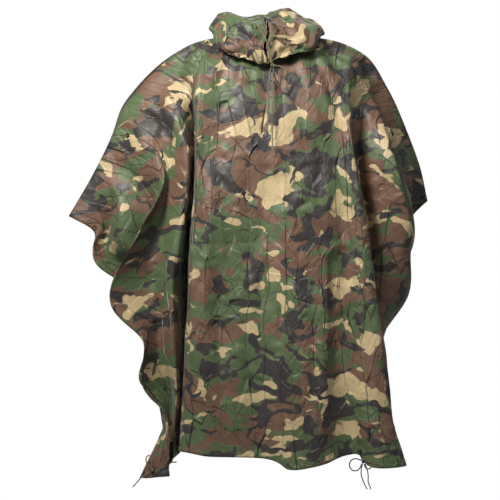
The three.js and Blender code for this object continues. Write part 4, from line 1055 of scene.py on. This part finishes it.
def use_group(tree, name, maker, **inputs):
    made = tree.nodes.new("ShaderNodeGroup")
    made.node_tree = shared(name, maker)
    for key, value in inputs.items():
        if isinstance(value, bpy.types.NodeSocket):
            tree.links.new(value, made.inputs[key])
        else:
            made.inputs[key].default_value = value
    return made.outputs


def new_material(name):
    made = bpy.data.materials.new(name)
    made.use_nodes = True
    tree = made.node_tree
    tree.nodes.clear()
    shader = tree.nodes.new("ShaderNodeBsdfPrincipled")
    out = tree.nodes.new("ShaderNodeOutputMaterial")
    tree.links.new(shader.outputs["BSDF"], out.inputs["Surface"])
    return made, tree, shader


def cloth_place(tree):
    return put(tree, "ShaderNodeUVMap", uv_map="cloth").outputs["UV"]


def nylon(name, inside):
    """Printed nylon: glossy print outside, and inside the same print seen through a dull coating."""
    found = bpy.data.materials.get(name)
    if found:
        return found
    cloth = bpy.context.scene.poncho_cloth
    made, tree, shader = new_material(name)
    place = cloth_place(tree)
    lean = put(tree, "ShaderNodeAttribute", attribute_name="print_lean").outputs["Vector"]
    printed = use_group(tree, "woodland print", make_print_group, Place=place, Lean=lean, Ground=cloth.green,
                        Brown=cloth.brown, Tan=cloth.tan, Black=cloth.black)
    colour = printed["Color"]
    if inside:
        colour = blend_colour(tree, 0.62, colour, cloth.inside)
    mottle = span(tree, noise_of(tree, place, 26.0, 4.0, 0.6), 0.3, 0.7, 0.9, 1.1)
    tinted = put(tree, "ShaderNodeVectorMath", {0: colour}, operation="SCALE")
    tree.links.new(mottle, tinted.inputs["Scale"])
    tree.links.new(tinted.outputs[0], shader.inputs["Base Color"])
    rough = span(tree, noise_of(tree, place, 60.0, 3.0, 0.6), 0.3, 0.7, 0.46, 0.6)
    if inside:
        rough = maths(tree, "ADD", rough, 0.16)
    tree.links.new(rough, shader.inputs["Roughness"])
    shader.inputs["Specular IOR Level"].default_value = 0.3 if inside else 0.5
    shader.inputs["Sheen Weight"].default_value = 0.05 if inside else 0.16
    shader.inputs["Sheen Roughness"].default_value = 0.35
    folds = use_group(tree, "crumple", make_crumple_group, Place=place, Size=0.03)["Height"]
    threads = use_group(tree, "weave", make_weave_group, Place=place)["Height"]
    large = put(tree, "ShaderNodeBump", {"Height": folds, "Strength": 1.0, "Distance": 0.44})
    fine = put(tree, "ShaderNodeBump", {"Height": threads, "Strength": 0.06, "Distance": 0.0002,
                                        "Normal": large.outputs["Normal"]})
    tree.links.new(fine.outputs["Normal"], shader.inputs["Normal"])
    return made


def cloth_materials():
    return [nylon("nylon print outside", False), nylon("nylon print inside", True)]


def cord_material(kind):
    name = "braided cord " + kind
    found = bpy.data.materials.get(name)
    if found:
        return found
    cords = bpy.context.scene.poncho_cords
    made, tree, shader = new_material(name)
    place = put(tree, "ShaderNodeUVMap", uv_map="cord").outputs["UV"]
    plait = use_group(tree, "weave", make_weave_group, Place=place, Across=2 * math.pi * 8,
                      Along=2200.0)["Height"]
    worn = use_group(tree, "wear", make_wear_group, Place=place, Scale=40.0, Amount=0.4)["Mask"]
    base = cords.olive if kind == "olive" else cords.black
    # Painted shade: deep is half the cord's colour, laid on the plait's low places as if they were shaded in
    # the grooves.
    deep = [value * 0.5 for value in base[:3]] + [1.0]
    light = [min(1.0, value * 1.35 + 0.01) for value in base[:3]] + [1.0]
    colour = blend_colour(tree, plait, deep, base)
    colour = blend_colour(tree, maths(tree, "MULTIPLY", worn, 0.5), colour, light)
    tree.links.new(colour, shader.inputs["Base Color"])
    tree.links.new(span(tree, worn, 0.0, 1.0, 0.62, 0.8), shader.inputs["Roughness"])
    shader.inputs["Sheen Weight"].default_value = 0.2
    bump = put(tree, "ShaderNodeBump", {"Height": plait, "Strength": 0.5, "Distance": 0.0004})
    tree.links.new(bump.outputs["Normal"], shader.inputs["Normal"])
    return made


def brass_material():
    found = bpy.data.materials.get("darkened brass")
    if found:
        return found
    cords = bpy.context.scene.poncho_cords
    made, tree, shader = new_material("darkened brass")
    place = put(tree, "ShaderNodeTexCoord").outputs["Object"]
    worn = use_group(tree, "wear", make_wear_group, Place=place, Scale=420.0, Amount=0.5)["Mask"]
    bright = [min(1.0, value * 2.4 + 0.02) for value in cords.brass[:3]] + [1.0]
    tree.links.new(blend_colour(tree, maths(tree, "MULTIPLY", worn, 0.6), cords.brass, bright),
                   shader.inputs["Base Color"])
    tree.links.new(span(tree, worn, 0.0, 1.0, 0.42, 0.26), shader.inputs["Roughness"])
    tree.links.new(span(tree, worn, 0.0, 1.0, 0.8, 0.95), shader.inputs["Metallic"])
    return made


def thread_material():
    found = bpy.data.materials.get("sewing thread")
    if found:
        return found
    made, tree, shader = new_material("sewing thread")
    place = put(tree, "ShaderNodeTexCoord").outputs["Object"]
    worn = use_group(tree, "wear", make_wear_group, Place=place, Scale=300.0, Amount=0.5)["Mask"]
    base = bpy.context.scene.poncho_cloth.thread
    light = [value * 1.5 for value in base[:3]] + [1.0]
    tree.links.new(blend_colour(tree, worn, base, light), shader.inputs["Base Color"])
    tree.links.new(span(tree, worn, 0.0, 1.0, 0.6, 0.75), shader.inputs["Roughness"])
    return made


def spaced(points, step):
    """The smooth line through points, cut into even steps."""
    points = np.array(points, float)
    dense = through(np.arange(len(points)), points, np.linspace(0, len(points) - 1, len(points) * 16))
    run = np.concatenate([[0], np.cumsum(np.linalg.norm(np.diff(dense, axis=0), axis=1))])
    wanted = np.linspace(0, run[-1], max(8, int(run[-1] / step)) + 1)
    return np.column_stack([np.interp(wanted, run, dense[:, k]) for k in range(3)])


def tube(name, line, radius, sides, closed=False, relief=0.05, rounded=True):
    """A plaited cord along a line in millimetres: a mesh with its own plait in low relief."""
    count = len(line)
    if closed:
        tangents = np.roll(line, -1, axis=0) - np.roll(line, 1, axis=0)
    else:
        tangents = np.gradient(line, axis=0)
    tangents /= np.linalg.norm(tangents, axis=1, keepdims=True)
    side = np.cross(tangents[0], [0.3, 0.2, 1.0])
    side /= np.linalg.norm(side)
    frames = []
    for tangent in tangents:
        side = side - tangent * (side @ tangent)
        side /= np.linalg.norm(side)
        frames.append((side, np.cross(tangent, side)))
    turns = np.arange(sides) * 2 * math.pi / sides
    if closed:
        drift = math.atan2(frames[0][1] @ frames[-1][0], frames[0][0] @ frames[-1][0])
    points = []
    for k in range(count):
        twist = -drift * k / count if closed else 0.0
        plait = np.sin(turns * 4 + k * 1.9) * np.sin(turns * 4 - k * 1.9)
        size = np.full(sides, radius) * (1 + relief * plait)
        if rounded and not closed:
            edge = min(k, count - 1 - k)
            size = size * (0.55, 0.86)[edge] if edge < 2 else size
        first, second = frames[k]
        ring = line[k] + size[:, None] * (
            np.cos(turns + twist)[:, None] * first + np.sin(turns + twist)[:, None] * second
        )
        points.append(ring)
    points = np.concatenate(points) * MM
    faces = []
    places = []
    last = count if closed else count - 1
    for k in range(last):
        after = (k + 1) % count
        for j in range(sides):
            beside = (j + 1) % sides
            faces.append((k * sides + j, k * sides + beside, after * sides + beside, after * sides + j))
            places.append(((j, k), (j + 1, k), (j + 1, k + 1), (j, k + 1)))
    if not closed:
        faces.append(tuple(range(sides))[::-1])
        faces.append(tuple((count - 1) * sides + j for j in range(sides)))
    mesh = bpy.data.meshes.new(name)
    mesh.from_pydata(points.tolist(), [], faces)
    mesh.polygons.foreach_set("use_smooth", np.ones(len(faces), bool))
    uv = mesh.uv_layers.new(name="cord")
    step = np.linalg.norm(line[1] - line[0]) * MM
    flat = [(j / sides, k * step) for quad in places for j, k in quad]
    flat += [(0.0, 0.0)] * (len(uv.data) - len(flat))
    uv.data.foreach_set("uv", np.array(flat).ravel())
    mesh.update()
    piece = bpy.data.objects.new(name, mesh)
    bpy.context.scene.collection.objects.link(piece)
    return piece


def lathe(name, profile, sides, middle, axis):
    """A turned piece: profile of (radius, height) in millimetres, closed, about the axis at middle."""
    axis = np.array(axis, float)
    first = np.cross(axis, [0.0, 0.0, 1.0])
    first /= np.linalg.norm(first)
    second = np.cross(axis, first)
    points = []
    for k in range(sides):
        turn = 2 * math.pi * k / sides
        arm = math.cos(turn) * first + math.sin(turn) * second
        points += [(np.array(middle) + arm * radius + axis * height) * MM for radius, height in profile]
    count = len(profile)
    faces = []
    for k in range(sides):
        after = (k + 1) % sides
        for j in range(count):
            beside = (j + 1) % count
            faces.append((k * count + j, k * count + beside, after * count + beside, after * count + j))
    mesh = bpy.data.meshes.new(name)
    mesh.from_pydata([tuple(p) for p in points], [], faces)
    mesh.polygons.foreach_set("use_smooth", np.ones(len(faces), bool))
    mesh.update()
    piece = bpy.data.objects.new(name, mesh)
    bpy.context.scene.collection.objects.link(piece)
    return piece


class PlaceCamera(bpy.types.Operator):
    """Set the camera level in front of the poncho"""

    bl_idname = "poncho.place_camera"
    bl_label = "Place the camera"

    def execute(self, context):
        studio = context.scene.poncho_studio
        data = bpy.data.cameras.new("front_camera")
        data.sensor_width = 36
        data.lens = 18 / ((studio.width / 2) / (studio.distance - 0.06))
        camera = bpy.data.objects.new("front_camera", data)
        camera.location = (VIEW_X, -studio.distance, VIEW_Z)
        camera.rotation_euler = (math.pi / 2, 0, 0)
        context.scene.collection.objects.link(camera)
        context.scene.camera = camera
        return {"FINISHED"}


class LayCords(bpy.types.Operator):
    """Lay the hood cord and the corner ties"""

    bl_idname = "poncho.lay_cords"
    bl_label = "Lay the cords"

    def execute(self, context):
        radius = context.scene.poncho_cords.diameter / 2 / MM
        for name, route, colour, end, lay, nodes in CORDS:
            line = spaced(route, 1.0)
            piece = tube(name, line, radius * 0.97, 16)
            piece.data.materials.append(cord_material(colour))
            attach(piece, "root")
            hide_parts(*nodes)
        return {"FINISHED"}


class TieKnots(bpy.types.Operator):
    """Wind the cord's knots"""

    bl_idname = "poncho.tie_knots"
    bl_label = "Tie the knots"

    def execute(self, context):
        radius = context.scene.poncho_cords.diameter / 2 / MM
        turn = np.linspace(0, 2 * math.pi, 120, endpoint=False)
        wound = np.column_stack([
            (2 + np.cos(3 * turn)) * np.cos(2 * turn) / 3,
            np.sin(3 * turn),
            (2 + np.cos(3 * turn)) * np.sin(2 * turn) / 3,
        ])
        for name, middle, half, colour, node in KNOTS:
            line = np.array(middle) + wound * (np.array(half) - radius * 0.9)
            piece = tube(name, line, radius * 0.9, 12, closed=True)
            piece.data.materials.append(cord_material(colour))
            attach(piece, "root")
            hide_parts(node)
        return {"FINISHED"}


def panel_places():
    """Where a panel is divided: evenly across the cloth, and down the drop a little closer near the top."""
    across = np.linspace(-HALF_WIDTH, HALF_WIDTH, PANEL_COLUMNS)
    down = np.linspace(0, 1, PANEL_ROWS) ** 1.03
    return across, down


def hem_distance(grid):
    """How far each point is from the hem, along the cloth."""
    steps = np.linalg.norm(np.diff(grid, axis=0), axis=2)
    length = np.vstack([np.zeros(grid.shape[1]), np.cumsum(steps, axis=0)])
    return length[-1:] - length, length


def hem_relief(place, from_hem, hem):
    """The turned hem and edges stand a little proud and dip at the stitching."""
    from_edge = HALF_WIDTH - np.abs(place[:, :, 0])
    near = np.minimum(from_hem, from_edge)
    proud = 0.9 * (1 - smooth_step(hem - 2, hem + 2, near))
    dip = -0.8 * np.exp(-((near - hem) / 3.0) ** 2)
    pucker = 0.5 * np.sin(place[:, :, 0] / 5.2) * np.sin(place[:, :, 1] / 4.7)
    pucker = pucker * np.exp(-((near - hem) / 9.0) ** 2)
    return proud + dip + pucker


def front_depth(grid, normals, place, amount, crease):
    """How far the front's crumples and creases stand out of its hanging form."""
    x, y, z = grid[:, :, 0], grid[:, :, 1], grid[:, :, 2]
    seen = smooth_step(0.05, 0.35, -normals[:, :, 1])
    lines = crease_lines(x, z, FRONT_CREASES + star_rays(FRONT_STARS)) * seen
    calm = 1 - 0.55 * smooth_step(120, 200, x) * smooth_step(-450, -560, z)
    calm *= 1 - 0.3 * smooth_step(-520, -700, z)
    small = crumple(place[:, :, 0], place[:, :, 1], 7) * calm * amount
    small *= 1 + 0.7 * smooth_step(-190, -90, z) * smooth_step(220, 160, np.abs(x))
    small += neck_gathers(x, y, z, 5.0)
    small -= lap_steps(x, z, FRONT_LAPS) * seen
    low = smooth_step(-260, -420, z)
    small += seen * low * np.interp(x, STRIP_PLACES, STRIP_DEPTHS)
    cords = np.exp(-((x - 8) / 34) ** 2) * smooth_step(-330, -290, z)
    return (small + lines * crease) * (1 - 0.8 * cords)


def row_at(grid, normals, distance, wanted):
    """The line of points along a panel where a distance reaches the wanted value, with its normals."""
    points = []
    facing = []
    for k in range(grid.shape[1]):
        order = np.argsort(distance[:, k])
        run = distance[order, k]
        points.append([np.interp(wanted, run, grid[order, k, j]) for j in range(3)])
        facing.append([np.interp(wanted, run, normals[order, k, j]) for j in range(3)])
    return np.array(points), np.array(facing)


def stitches(name, lines, length):
    """Raised stitches along lines of (points, normals), one mesh of short spindles of thread."""
    points = []
    faces = []
    for line, facing in lines:
        run = np.concatenate([[0], np.cumsum(np.linalg.norm(np.diff(line, axis=0), axis=1))])
        def at(where, values):
            return np.column_stack([np.interp(where, run, values[:, j]) for j in range(3)])
        starts = np.arange(length, run[-1] - length, length)
        ends = starts + length * STITCH_SHARE
        for start, end, up in zip(at(starts, line), at(ends, line), at(starts, facing)):
            up = up / max(np.linalg.norm(up), 1e-9)
            along = end - start
            side = np.cross(along, up)
            side /= max(np.linalg.norm(side), 1e-9)
            first = len(points)
            for share, size, lift in ((0.0, 0.14, 0.05), (0.5, 0.36, 0.32), (1.0, 0.14, 0.05)):
                middle = start + along * share + up * lift
                points += [middle + side * size, middle + up * size, middle - side * size, middle - up * size]
            for ring in (first, first + 4):
                for j in range(4):
                    beside = (j + 1) % 4
                    faces.append((ring + j, ring + beside, ring + 4 + beside, ring + 4 + j))
            faces.append((first + 3, first + 2, first + 1, first))
            faces.append((first + 8, first + 9, first + 10, first + 11))
    mesh = bpy.data.meshes.new(name)
    mesh.from_pydata((np.array(points) * MM).tolist(), [], faces)
    mesh.polygons.foreach_set("use_smooth", np.ones(len(faces), bool))
    mesh.materials.append(thread_material())
    mesh.update()
    piece = bpy.data.objects.new(name, mesh)
    bpy.context.scene.collection.objects.link(piece)
    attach(piece, "root")
    return piece


def panel_stitches(name, grid, turn, hem, length):
    """Stitches along a panel's hem and both its sides, in from the edge by the width of the hem."""
    normals = outward(grid, turn)
    from_hem, _ = hem_distance(grid)
    lines = [row_at(grid, normals, from_hem, hem)]
    turned = grid.transpose(1, 0, 2)
    facing = normals.transpose(1, 0, 2)
    steps = np.linalg.norm(np.diff(turned, axis=0), axis=2)
    across = np.vstack([np.zeros(turned.shape[1]), np.cumsum(steps, axis=0)])
    lines.append(row_at(turned, facing, across, hem))
    lines.append(row_at(turned, facing, across[-1:] - across, hem))
    return stitches(name, lines, length)


class HangFront(bpy.types.Operator):
    """Hang the front panel with its folds, creases and hem"""

    bl_idname = "poncho.hang_front"
    bl_label = "Hang the front"

    def execute(self, context):
        cloth = context.scene.poncho_cloth
        across, down = panel_places()
        grid, place = panel_form(FRONT_FOLDS, FRONT_BAGS + FRONT_PULLS, -1, across, down)
        normals = outward(grid, -1)
        depth = front_depth(grid, normals, place, cloth.crumple, cloth.crease)
        from_hem, from_ridge = hem_distance(grid)
        top = smooth_step(0, 18, from_ridge)
        lift = hem_relief(place, from_hem, cloth.hem / MM)
        grid = grid + normals * ((depth + lift) * top)[:, :, None]
        grid = keep_behind_cords(grid, [NECK_END_LEFT, NECK_END_RIGHT, NECK_TAIL])
        grid = flatten_under_fittings(grid, [n for n in FITTINGS if "back" not in n and "hood" not in n])
        seen = smooth_step(-0.1, 0.2, -normals[:, :, 1])
        lean = print_lean(grid[:, :, 0], grid[:, :, 2], FRONT_PATCHES, seen)
        piece = shell("front_cloth", grid, -1, cloth.wall / MM, place, cloth_materials(), lean)
        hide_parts("front_panel")
        panel_stitches("front_stitches", grid, -1, cloth.hem / MM, cloth.stitch / MM)
        return {"FINISHED"}


class HangBack(bpy.types.Operator):
    """Hang the back panel with its folds, creases and hem"""

    bl_idname = "poncho.hang_back"
    bl_label = "Hang the back"

    def execute(self, context):
        cloth = context.scene.poncho_cloth
        across, down = panel_places()
        grid, place = panel_form(BACK_FOLDS, [], 1, across, down)
        normals = outward(grid, 1)
        x, y, z = grid[:, :, 0], grid[:, :, 1], grid[:, :, 2]
        seen = smooth_step(0.05, 0.35, normals[:, :, 1])
        depth = crumple(place[:, :, 0], place[:, :, 1], 61) * 0.9 * cloth.crumple
        depth += crease_lines(x, z, BACK_CREASES + star_rays(BACK_STARS)) * seen * cloth.crease
        depth += neck_gathers(x, -y, z + 10, 2.6)
        from_hem, from_ridge = hem_distance(grid)
        top = smooth_step(0, 18, from_ridge)
        lift = hem_relief(place, from_hem, cloth.hem / MM)
        grid = grid + normals * ((depth + lift) * top)[:, :, None]
        grid = flatten_under_fittings(grid, [n for n in FITTINGS if "back" in n])
        place = place * np.array([1, -1]) + np.array([140, 0])
        piece = shell("back_cloth", grid, 1, cloth.wall / MM, place, cloth_materials())
        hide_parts("back_panel")
        panel_stitches("back_stitches", grid, 1, cloth.hem / MM, cloth.stitch / MM)
        return {"FINISHED"}


class FoldHood(bpy.types.Operator):
    """Fold down the empty hood in its two halves"""

    bl_idname = "poncho.fold_hood"
    bl_label = "Fold the hood"

    def execute(self, context):
        cloth = context.scene.poncho_cloth
        angles = np.linspace(0, math.pi, HOOD_COLUMNS)
        shares = np.linspace(0, 1, HOOD_ROWS)
        for name, rows, side in (("left", HOOD_LEFT, -1), ("right", HOOD_RIGHT, 1)):
            grid, place = hood_form(rows, side, angles, shares)
            normals = outward(grid, side)
            u, v = place[:, :, 0], place[:, :, 1]
            depth = 8.5 * facets(u, v, 58, 91 + side) + 5.5 * facets(u, v, 30, 97 + side)
            depth += 2.6 * facets(u, v, 15, 103 + side)
            seen = smooth_step(0.0, 0.3, -normals[:, :, 1])
            depth = depth * cloth.crumple
            depth += crease_lines(grid[:, :, 0], grid[:, :, 2], HOOD_CREASES) * seen * cloth.crease
            edge = smooth_step(0.02, 0.12, shares)[:, None] * smooth_step(1.0, 0.93, shares)[:, None]
            ends = smooth_step(0.0, 0.16, angles) * smooth_step(math.pi, math.pi - 0.1, angles)
            ends = ends[None, :]
            grid = grid + normals * (depth * edge * (0.25 + 0.75 * ends))[:, :, None]
            grid[:, :, 0] = side * np.maximum(np.abs(grid[:, :, 0]), 0.15)
            low, high = HOOD_TUCK
            tuck = np.exp(-((side * grid[:, :, 0] - 66) / 34) ** 2)
            tuck = tuck * smooth_step(high, low, grid[:, :, 2]) * seen
            grid[:, :, 2] += 13 * tuck
            grid[:, :, 1] += 6 * tuck
            wander = np.exp(-((angles / 0.35) ** 2))[None, :] * smooth_step(-60, -20, grid[:, :, 2])
            grid[:, :, 0] += wander * (4.5 * np.sin(grid[:, :, 2] / 15 + 0.6) - 3.0)
            grid = keep_behind_cords(grid, [NECK_LEFT_STRAND[3:], NECK_RIGHT_STRAND[3:]])
            grid = flatten_under_fittings(grid, ["hood_eyelet_" + name], 8.0, 16.0)
            place = place + np.array([0, 260])
            lean = print_lean(grid[:, :, 0], grid[:, :, 2], HOOD_PATCHES, seen)
            piece = shell("hood_cloth_" + name, grid, side, cloth.wall / MM, place, cloth_materials(),
                          lean)
            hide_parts("hood_" + name)
            facing = outward(grid, side)
            reach = np.linalg.norm(np.diff(grid, axis=1), axis=2)
            from_front = np.hstack([np.zeros((len(shares), 1)), np.cumsum(reach, axis=1)]).T
            casing = row_at(grid.transpose(1, 0, 2), facing.transpose(1, 0, 2), from_front, CASING)
            stitches("hood_stitches_" + name, [[part[8:] for part in casing]], cloth.stitch / MM)
        return {"FINISHED"}


class SetFittings(bpy.types.Operator):
    """Set the eyelets and the snaps in the cloth"""

    bl_idname = "poncho.set_fittings"
    bl_label = "Set eyelets and snaps"

    def execute(self, context):
        rolled = []
        for k in range(9):
            turn = math.pi * k / 8
            rolled.append((4.5 + 1.5 * math.cos(turn), 1.5 * math.sin(turn) ** 0.8 * 1.05))
        foot = [(3.0, 0.0), (3.0, -1.8), (3.3, -1.8), (3.3, -0.6)]
        eyelet = [(6.0, -0.6), (6.0, 0.0)] + rolled[1:-1] + foot
        snap = [
            (6.5, -0.4), (6.5, 0.9), (6.2, 1.5), (5.5, 1.9), (4.6, 1.7), (4.1, 1.3), (3.6, 1.3), (3.2, 1.9),
            (2.6, 2.4), (2.0, 2.2), (2.0, -0.4),
        ]
        for names, profile in ((EYELETS, eyelet), (SNAPS, snap)):
            for node in names:
                middle, axis, thick = FITTINGS[node]
                seat = middle - axis * thick / 2
                piece = lathe(node.replace("eyelet", "ring").replace("snap", "stud"), profile, 40, seat, axis)
                piece.data.materials.append(brass_material())
                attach(piece, "root")
                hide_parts(node)
        return {"FINISHED"}


class LightStudio(bpy.types.Operator):
    """Lay a plain pale floor and set the soft lights"""

    bl_idname = "poncho.light_studio"
    bl_label = "Light the studio"

    def execute(self, context):
        scene = context.scene
        studio = scene.poncho_studio
        rings = [0.0, 1.0, 2.0, 3.0, 4.0, 5.0, 6.0, 7.0, 8.0, 9.0, 10.0]
        sides = 96
        points = [(0.0, 0.0, -studio.floor)]
        for radius in rings[1:]:
            for k in range(sides):
                turn = 2 * math.pi * k / sides
                points.append((radius * math.cos(turn), radius * math.sin(turn), -studio.floor))
        faces = [(0, 1 + k, 1 + (k + 1) % sides) for k in range(sides)]
        for r in range(len(rings) - 2):
            low, high = 1 + r * sides, 1 + (r + 1) * sides
            for k in range(sides):
                beside = (k + 1) % sides
                faces.append((low + k, high + k, high + beside, low + beside))
        mesh = bpy.data.meshes.new("floor")
        mesh.from_pydata(points, [], faces)
        floor = bpy.data.objects.new("floor", mesh)
        scene.collection.objects.link(floor)
        made, tree, shader = new_material("pale floor")
        place = put(tree, "ShaderNodeTexCoord").outputs["Object"]
        colour = blend_colour(tree, noise_of(tree, place, 3.0), (0.86, 0.86, 0.87, 1), (0.9, 0.9, 0.91, 1))
        tree.links.new(colour, shader.inputs["Base Color"])
        shader.inputs["Roughness"].default_value = 0.9
        away = put(tree, "ShaderNodeVectorMath", {0: place}, operation="LENGTH").outputs["Value"]
        tree.links.new(span(tree, away, 1.1, 2.1, 1.0, 0.0), shader.inputs["Alpha"])
        mesh.materials.append(made)
        world = bpy.data.worlds.new("even room light")
        world.use_nodes = True
        tree = world.node_tree
        back = tree.nodes["Background"]
        back.inputs["Color"].default_value = (1.0, 1.0, 1.0, 1)
        direct = tree.nodes.new("ShaderNodeLightPath").outputs["Is Camera Ray"]
        tree.links.new(span(tree, direct, 0.0, 1.0, studio.sky, 1.0), back.inputs["Strength"])
        scene.world = world
        lights = (
            ("key", (-1.05, -1.6, 1.15), 0.7, studio.key),
            ("front", (0.6, -2.6, 2.2), 1.4, studio.fill),
            ("side", (2.8, -1.2, 0.6), 1.6, studio.fill * 0.15),
            ("back", (0.3, 3.0, 1.6), 2.4, studio.fill * 2.5),
        )
        for name, place, size, power in lights:
            data = bpy.data.lights.new(name, "AREA")
            data.size = size
            data.energy = power
            data.color = (1.0, 0.95, 0.87)
            light = bpy.data.objects.new(name, data)
            light.location = place
            aim = Vector((-0.02, 0, -0.34 if name == "key" else -0.5)) - Vector(place)
            data.spread = math.radians(64) if name == "key" else math.pi
            light.rotation_euler = aim.to_track_quat("-Z", "Y").to_euler()
            light.visible_camera = False
            scene.collection.objects.link(light)
        scene.view_settings.view_transform = "Standard"
        return {"FINISHED"}


class PonchoPanel(bpy.types.Panel):
    """The poncho's steps and sizes"""

    bl_idname = "VIEW3D_PT_poncho"
    bl_label = "Rain poncho"
    bl_space_type = "VIEW_3D"
    bl_region_type = "UI"
    bl_category = "Poncho"

    def draw(self, context):
        for settings in (context.scene.poncho_cloth, context.scene.poncho_cords, context.scene.poncho_studio):
            box = self.layout.box()
            for key in settings.__annotations__:
                box.prop(settings, key)
        for step in STEPS:
            self.layout.operator(step.bl_idname)


STEPS = [PlaceCamera, LayCords, TieKnots, HangFront, HangBack, FoldHood, SetFittings, LightStudio]
CLASSES = [PonchoCloth, PonchoCords, PonchoStudio, *STEPS, PonchoPanel]


def register():
    for one in CLASSES:
        bpy.utils.register_class(one)
    bpy.types.Scene.poncho_cloth = bpy.props.PointerProperty(type=PonchoCloth)
    bpy.types.Scene.poncho_cords = bpy.props.PointerProperty(type=PonchoCords)
    bpy.types.Scene.poncho_studio = bpy.props.PointerProperty(type=PonchoStudio)


def unregister():
    del bpy.types.Scene.poncho_studio
    del bpy.types.Scene.poncho_cords
    del bpy.types.Scene.poncho_cloth
    for one in reversed(CLASSES):
        bpy.utils.unregister_class(one)


def main():
    register()
    bpy.ops.poncho.place_camera()
    bpy.ops.poncho.lay_cords()
    bpy.ops.poncho.tie_knots()
    bpy.ops.poncho.hang_front()
    bpy.ops.poncho.hang_back()
    bpy.ops.poncho.fold_hood()
    bpy.ops.poncho.set_fittings()
    bpy.ops.poncho.light_studio()


if __name__ == "__main__":
    main()
